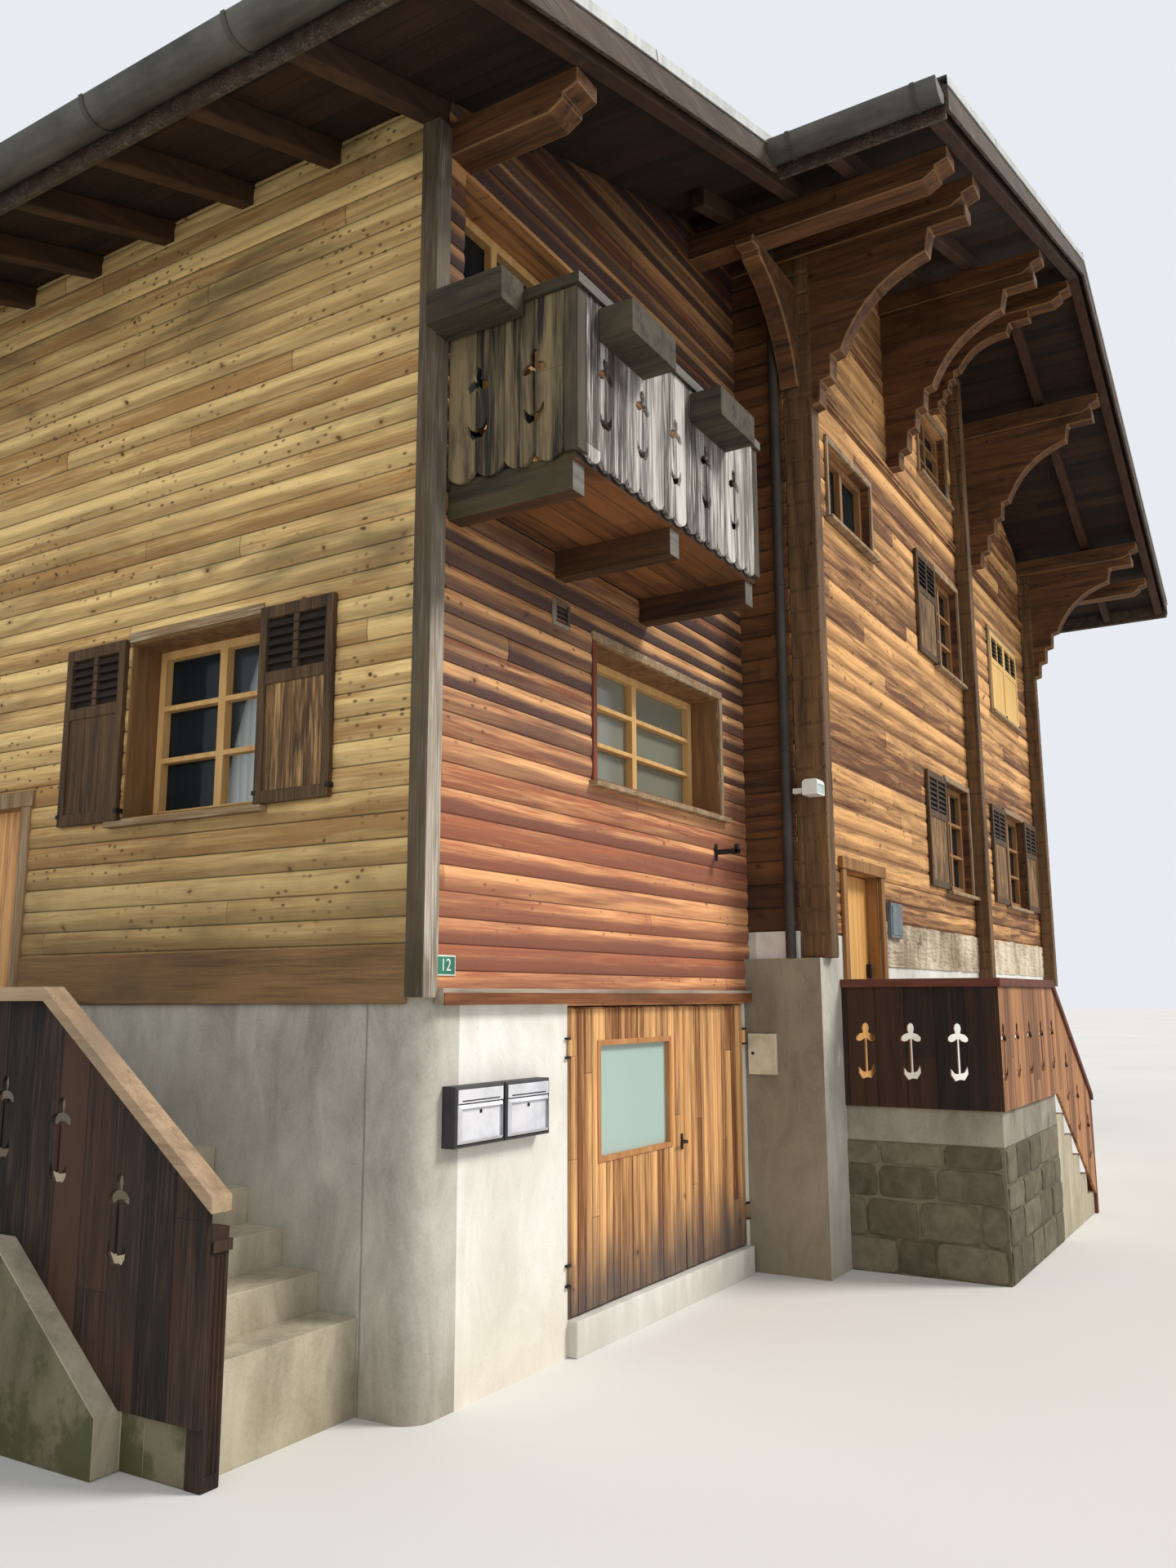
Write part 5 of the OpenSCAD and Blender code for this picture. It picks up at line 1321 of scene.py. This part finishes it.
def front_mouldings():
    """The stepped band between the storey and the gable."""
    z, inset, drop = 7.02, 0.14, 0.035
    steps = [plank("front_band", (main_x + inset, main_front - 0.03 + i * 0.012, z - i * drop),
                   (main_right - inset, main_front, z + 0.04 - i * drop), 0.006, 3) for i in range(2)]
    dress(join("front_band", steps), front_logs)


front_mouldings()


# Doors

JAMB_WIDTH, HEAD_OVER, HEAD_HEIGHT = 0.09, 0.12, 0.1


def terrace_door():
    """The grooved panel and handle of the terrace door, and the casing round its opening."""
    start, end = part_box("terrace_door")
    face = start[Y]
    left, right, panels = start[X] + 0.012, end[X] - 0.006, 5
    door = cuboid("terrace_door_panels", (left, face - 0.008, start[Z] + 0.006),
                  (right, face, end[Z] - 0.006))
    ease(door, lambda p: p.y < face - 0.007, 0.003, 2)
    step = (right - left) / panels
    cut(door, [((left + i * step - 0.002, face - 0.02, start[Z] + 0.1),
                (left + i * step + 0.002, face - 0.003, end[Z] - 0.1)) for i in range(1, panels)])
    dress(door, pale_door, "terrace_leaf")
    handle_foot, handle_top = 2.08, 2.2
    knob = plank("terrace_handle", (right - 0.08, face - 0.05, handle_foot),
                 (right - 0.055, face - 0.006, handle_top), 0.008, 3)
    dress(knob, iron, "terrace_leaf")
    jamb_left, jamb_right = high("front_wall_left_of_door", X), low("front_wall_beside_door", X)
    top, sill, out = high("front_wall_beside_door", Z), floor_top + 0.003, main_front - 0.03
    casing = [plank("jamb", (jamb_left - JAMB_WIDTH, out, sill), (jamb_left, main_front, top), 0.005),
              plank("jamb", (jamb_right, out, sill), (jamb_right + JAMB_WIDTH, main_front, top), 0.005),
              plank("head", (jamb_left - HEAD_OVER, out - 0.01, top),
                    (jamb_right + HEAD_OVER, main_front, top + HEAD_HEIGHT), 0.006),
              plank("reveal", (jamb_right - 0.024, main_front, sill),
                    (jamb_right - 0.001, face - 0.002, top - 0.002), 0.003),
              plank("reveal", (jamb_left + 0.001, main_front, sill),
                    (jamb_left + 0.012, face - 0.002, top - 0.002), 0.003)]
    dress(join("terrace_door_casing", casing), door_casing)


def side_door():
    """The boards of the side door and the casing round it."""
    start, end = solids("side_door")[0]
    board_width, joint, width = 0.125, 0.003, end.y - start.y
    board = cuboid("board", (start.x - 0.008, start.y + 0.001, start.z + 0.004),
                   (start.x, start.y + board_width, end.z - 0.004))
    ease(board, lambda p: p.x < start.x - 0.007, 0.004, 2)
    count = int(width / (board_width + joint))
    boards = repeat("side_door_boards", board, [shift(0, i * width / count) for i in range(count)])
    dress(boards, door_wood)
    casing = [plank("jamb", (-0.03, y, annex_base_top), (0, y + JAMB_WIDTH, end.z), 0.005)
              for y in (start.y - JAMB_WIDTH, end.y)]
    casing.append(plank("head", (-0.034, start.y - HEAD_OVER, end.z),
                        (0, end.y + HEAD_OVER, end.z + HEAD_HEIGHT), 0.005))
    dress(join("side_door_casing", casing), casing_wood)


terrace_door()
side_door()


# Curtain in the left window

def curtain():
    """A short cotton curtain gathered on a thin rod behind the right half of the left window."""
    light_start, light_end = left_light
    x, top, foot = light_end.x + 0.035, light_end.z - 0.05, light_start.z + 0.02
    start, end, inner_wall = light_start.y + 0.02, light_start.y + 0.66, 0.3
    middle, length = (light_start.y + light_end.y) / 2, light_end.y - light_start.y + 0.1
    rod = arris(cylinder(0.007, length, (x, middle, top), 16, lying=True), 0.002)
    holders = [plank("holder", (inner_wall, y - 0.008, top - 0.012),
                     (x + 0.008, y + 0.008, top + 0.012), 0.003)
               for y in (light_start.y - 0.03, light_end.y + 0.03)]
    dress(join("curtain_rod", [rod] + holders), iron)
    deselect()
    bpy.ops.mesh.primitive_grid_add(x_subdivisions=96, y_subdivisions=24, size=1)
    cloth = bpy.context.object
    cloth.name = "curtain"
    folds, drifts = 9, 4
    for vertex in cloth.data.vertices:
        across, down = vertex.co.x + 0.5, 0.5 - vertex.co.y
        fold = 0.010 + 0.012 * down
        wave = math.sin(across * 2 * math.pi * folds + 0.5 * math.sin(down * 3))
        ripple = 0.3 * math.sin(across * 2 * math.pi * drifts + 1.3)
        vertex.co = (x + fold * (wave + ripple), end + (start - end) * across + 0.004 * wave * down,
                     top + 0.004 + (foot - top) * down)
    only(cloth)
    bpy.ops.object.shade_smooth()
    dress(cloth, cotton)


curtain()


# Eased arrises and second finishes of the CAD nodes

def soften(width, names):
    """Eases the arrises of CAD nodes with live modifiers, their own meshes left as they are."""
    for name in names.split():
        piece = nodes[name]
        weld = piece.modifiers.new("Weld", "WELD")
        weld.merge_threshold = 0.0002
        bevel = piece.modifiers.new("Bevel", "BEVEL")
        bevel.width = width
        bevel.segments = 2
        bevel.limit_method = "ANGLE"
        bevel.angle_limit = math.radians(32)
        bevel.use_clamp_overlap = False


soften(0.012, "consoles log_ends")
soften(0.008, "purlins rafters_left rafters_right terrace_steps stair_flight terrace_slab garage_threshold")
soften(0.004, "window_frames window_casings balcony_boards balcony_rails balcony_deck terrace_boards "
       "terrace_rails stair_boards stair_rails annex_trim barge_boards")


def by_side(node, finish, chosen):
    """Gives a second finish to the faces of a CAD node whose normal and middle pass a test."""
    mesh = nodes[node].data
    mesh.materials.append(finish)
    spot = len(mesh.materials) - 1
    for face in mesh.polygons:
        if chosen(face.normal, face.center):
            face.material_index = spot


def faces_left(normal):
    """Whether a face looks to the left, at -X."""
    return normal.x < -0.9


def faces_front(normal):
    """Whether a face looks to the front, at -Y."""
    return normal.y < -0.9


side_low, side_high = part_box("balcony_deck")[0][X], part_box("balcony_deck")[1][X]
rail_front = max(solids("balcony_rails"), key=lambda box: box[1].x - box[0].x)[0].y
joist_top = max(start.z for start, end in solids("balcony_deck")) - 0.001
post_faces_below = 5.2
ledge_top = drip_ledge[1].z + 0.01
by_side("annex_trim", silver_trim, lambda n, p: p.z > ledge_top and p.y < 0.0)
by_side("annex_trim", ledge_wood, lambda n, p: p.z < ledge_top)
by_side("balcony_boards", olive_boards, lambda n, p: p.x < side_low or p.x > side_high)
by_side("balcony_rails", pale_end,
        lambda n, p: n.z > 0.9 or (faces_front(n) and abs(p.y - rail_front) < 0.005))
by_side("balcony_rails", olive_post, lambda n, p: p.z < post_faces_below)
by_side("balcony_deck", joist_wood, lambda n, p: p.z < joist_top)
by_side("balcony_deck", pale_end, lambda n, p: faces_front(n) and p.z < joist_top)
by_side("balcony_deck", joist_side, lambda n, p: faces_left(n) and p.x < side_low + 0.01)
# Painted shade: the front edge of the deck takes the near-black soffit finish, as the shadow line under the
# balcony boards.
by_side("balcony_deck", soffit, lambda n, p: faces_front(n) and p.z > joist_top)


def on_head(p):
    """Whether a place on a window casing lies above or below its light."""
    beside, over, edge = 0.4, 0.2, 0.001
    for start, end in window_lights:
        near = all(start[axis] - beside < p[axis] < end[axis] + beside for axis in (X, Y))
        if near and start.z - over < p.z < end.z + over:
            return p.z > end.z - edge or p.z < start.z + edge
    return False


by_side("window_casings", casing_heads, lambda n, p: on_head(p))
by_side("window_casings", red_casing, lambda n, p: p.y < 0.0 and p.x < front_light[0].x and not on_head(p))
by_side("window_glass", hazy_glass, lambda n, p: p.y < WALL_DEPTH and p.x < main_x and p.z < joist_top)
by_side("window_frames", brown_frame, lambda n, p: p.y < 0.0 and p.x > main_x)
# Faces that look to the left take dark copies of their finishes: painted shade on the sides turned from the
# key light.
for node, finish in (("terrace_boards", terrace_shaded_side), ("front_wall", shaded_logs),
                     ("front_wall_left_of_door", shaded_logs), ("stair_flight", mossy_shaded_wall)):
    by_side(node, finish, lambda n, p: faces_left(n))
# Painted shade on the left face of the pier.
by_side("main_base_left", painted_shade_wall, lambda n, p: faces_left(n) and p.x < main_x - 0.01)
# The bevelled arrises of the consoles and purlins take a painted highlight.
for node in ("consoles", "purlins"):
    nodes[node].data.materials.append(arris_highlight)
    nodes[node].modifiers["Bevel"].material = 1


# Stage, light and camera

def stage():
    """A plain pale floor at the foot of the house, and a pale sky for camera, gloss and glass."""
    bpy.ops.mesh.primitive_plane_add(size=400, location=(0, 0, 0))
    floor = bpy.context.object
    floor.name = "floor"
    g = Graph("floor_paint")
    tone = g.noise(g.place, 0.2, 2.0)
    colour = g.ramp(tone, (0.3, srgb(214, 212, 208)), (0.7, srgb(222, 220, 216)))
    floor.data.materials.append(g.finish(colour, 0.9))
    world = bpy.context.scene.world or bpy.data.worlds.new("studio")
    bpy.context.scene.world = world
    world.use_nodes = True
    tree = world.node_tree
    tree.nodes.clear()
    path = tree.nodes.new("ShaderNodeLightPath")
    seen = path.outputs["Is Camera Ray"]
    for ray in ("Is Glossy Ray", "Is Transmission Ray"):
        either = tree.nodes.new("ShaderNodeMath")
        either.operation = "MAXIMUM"
        tree.links.new(seen, either.inputs[0])
        tree.links.new(path.outputs[ray], either.inputs[1])
        seen = either.outputs[0]
    wires = [seen]
    for colour, strength in ((srgb(236, 240, 246), 0.62), (srgb(232, 236, 242), 1.0)):
        sky = tree.nodes.new("ShaderNodeBackground")
        sky.inputs["Color"].default_value = colour
        sky.inputs["Strength"].default_value = strength
        wires.append(sky.outputs[0])
    blend = tree.nodes.new("ShaderNodeMixShader")
    for wire, socket in zip(wires, blend.inputs):
        tree.links.new(wire, socket)
    out = tree.nodes.new("ShaderNodeOutputWorld")
    tree.links.new(blend.outputs[0], out.inputs[0])


def lamp(name, azimuth, height, strength, spread):
    """A sun lamp that stands at an azimuth from +Y towards +X and a height, in degrees."""
    bpy.ops.object.light_add(type="SUN", location=(0, 0, 12))
    sun = bpy.context.object
    sun.name = name
    sun.data.energy = strength
    sun.data.angle = math.radians(spread)
    sun.data.color = (1.0, 0.97, 0.92)
    sun.rotation_euler = (math.radians(90 - height), 0, math.radians(180 - azimuth))


def camera():
    """The photograph's camera: where it stood, how it was turned and its lens."""
    eye = Vector((-4.661, -3.746, 1.92))
    azimuth, elevation, roll = math.radians(58.885), math.radians(9.946), math.radians(-0.204)
    bpy.ops.object.camera_add(location=eye)
    view = bpy.context.object
    view.matrix_world = (Matrix.Translation(eye) @ Matrix.Rotation(-azimuth, 4, "Z")
                         @ Matrix.Rotation(math.pi / 2 + elevation, 4, "X") @ Matrix.Rotation(roll, 4, "Z"))
    view.data.sensor_width = 36
    view.data.lens = 28.02
    view.data.clip_end = 500
    bpy.context.scene.camera = view


stage()
lamp("key", 150, 42, 2.6, 18)
lamp("fill", 250, 35, 0.55, 60)
camera()
bpy.context.scene.view_settings.view_transform = "Standard"
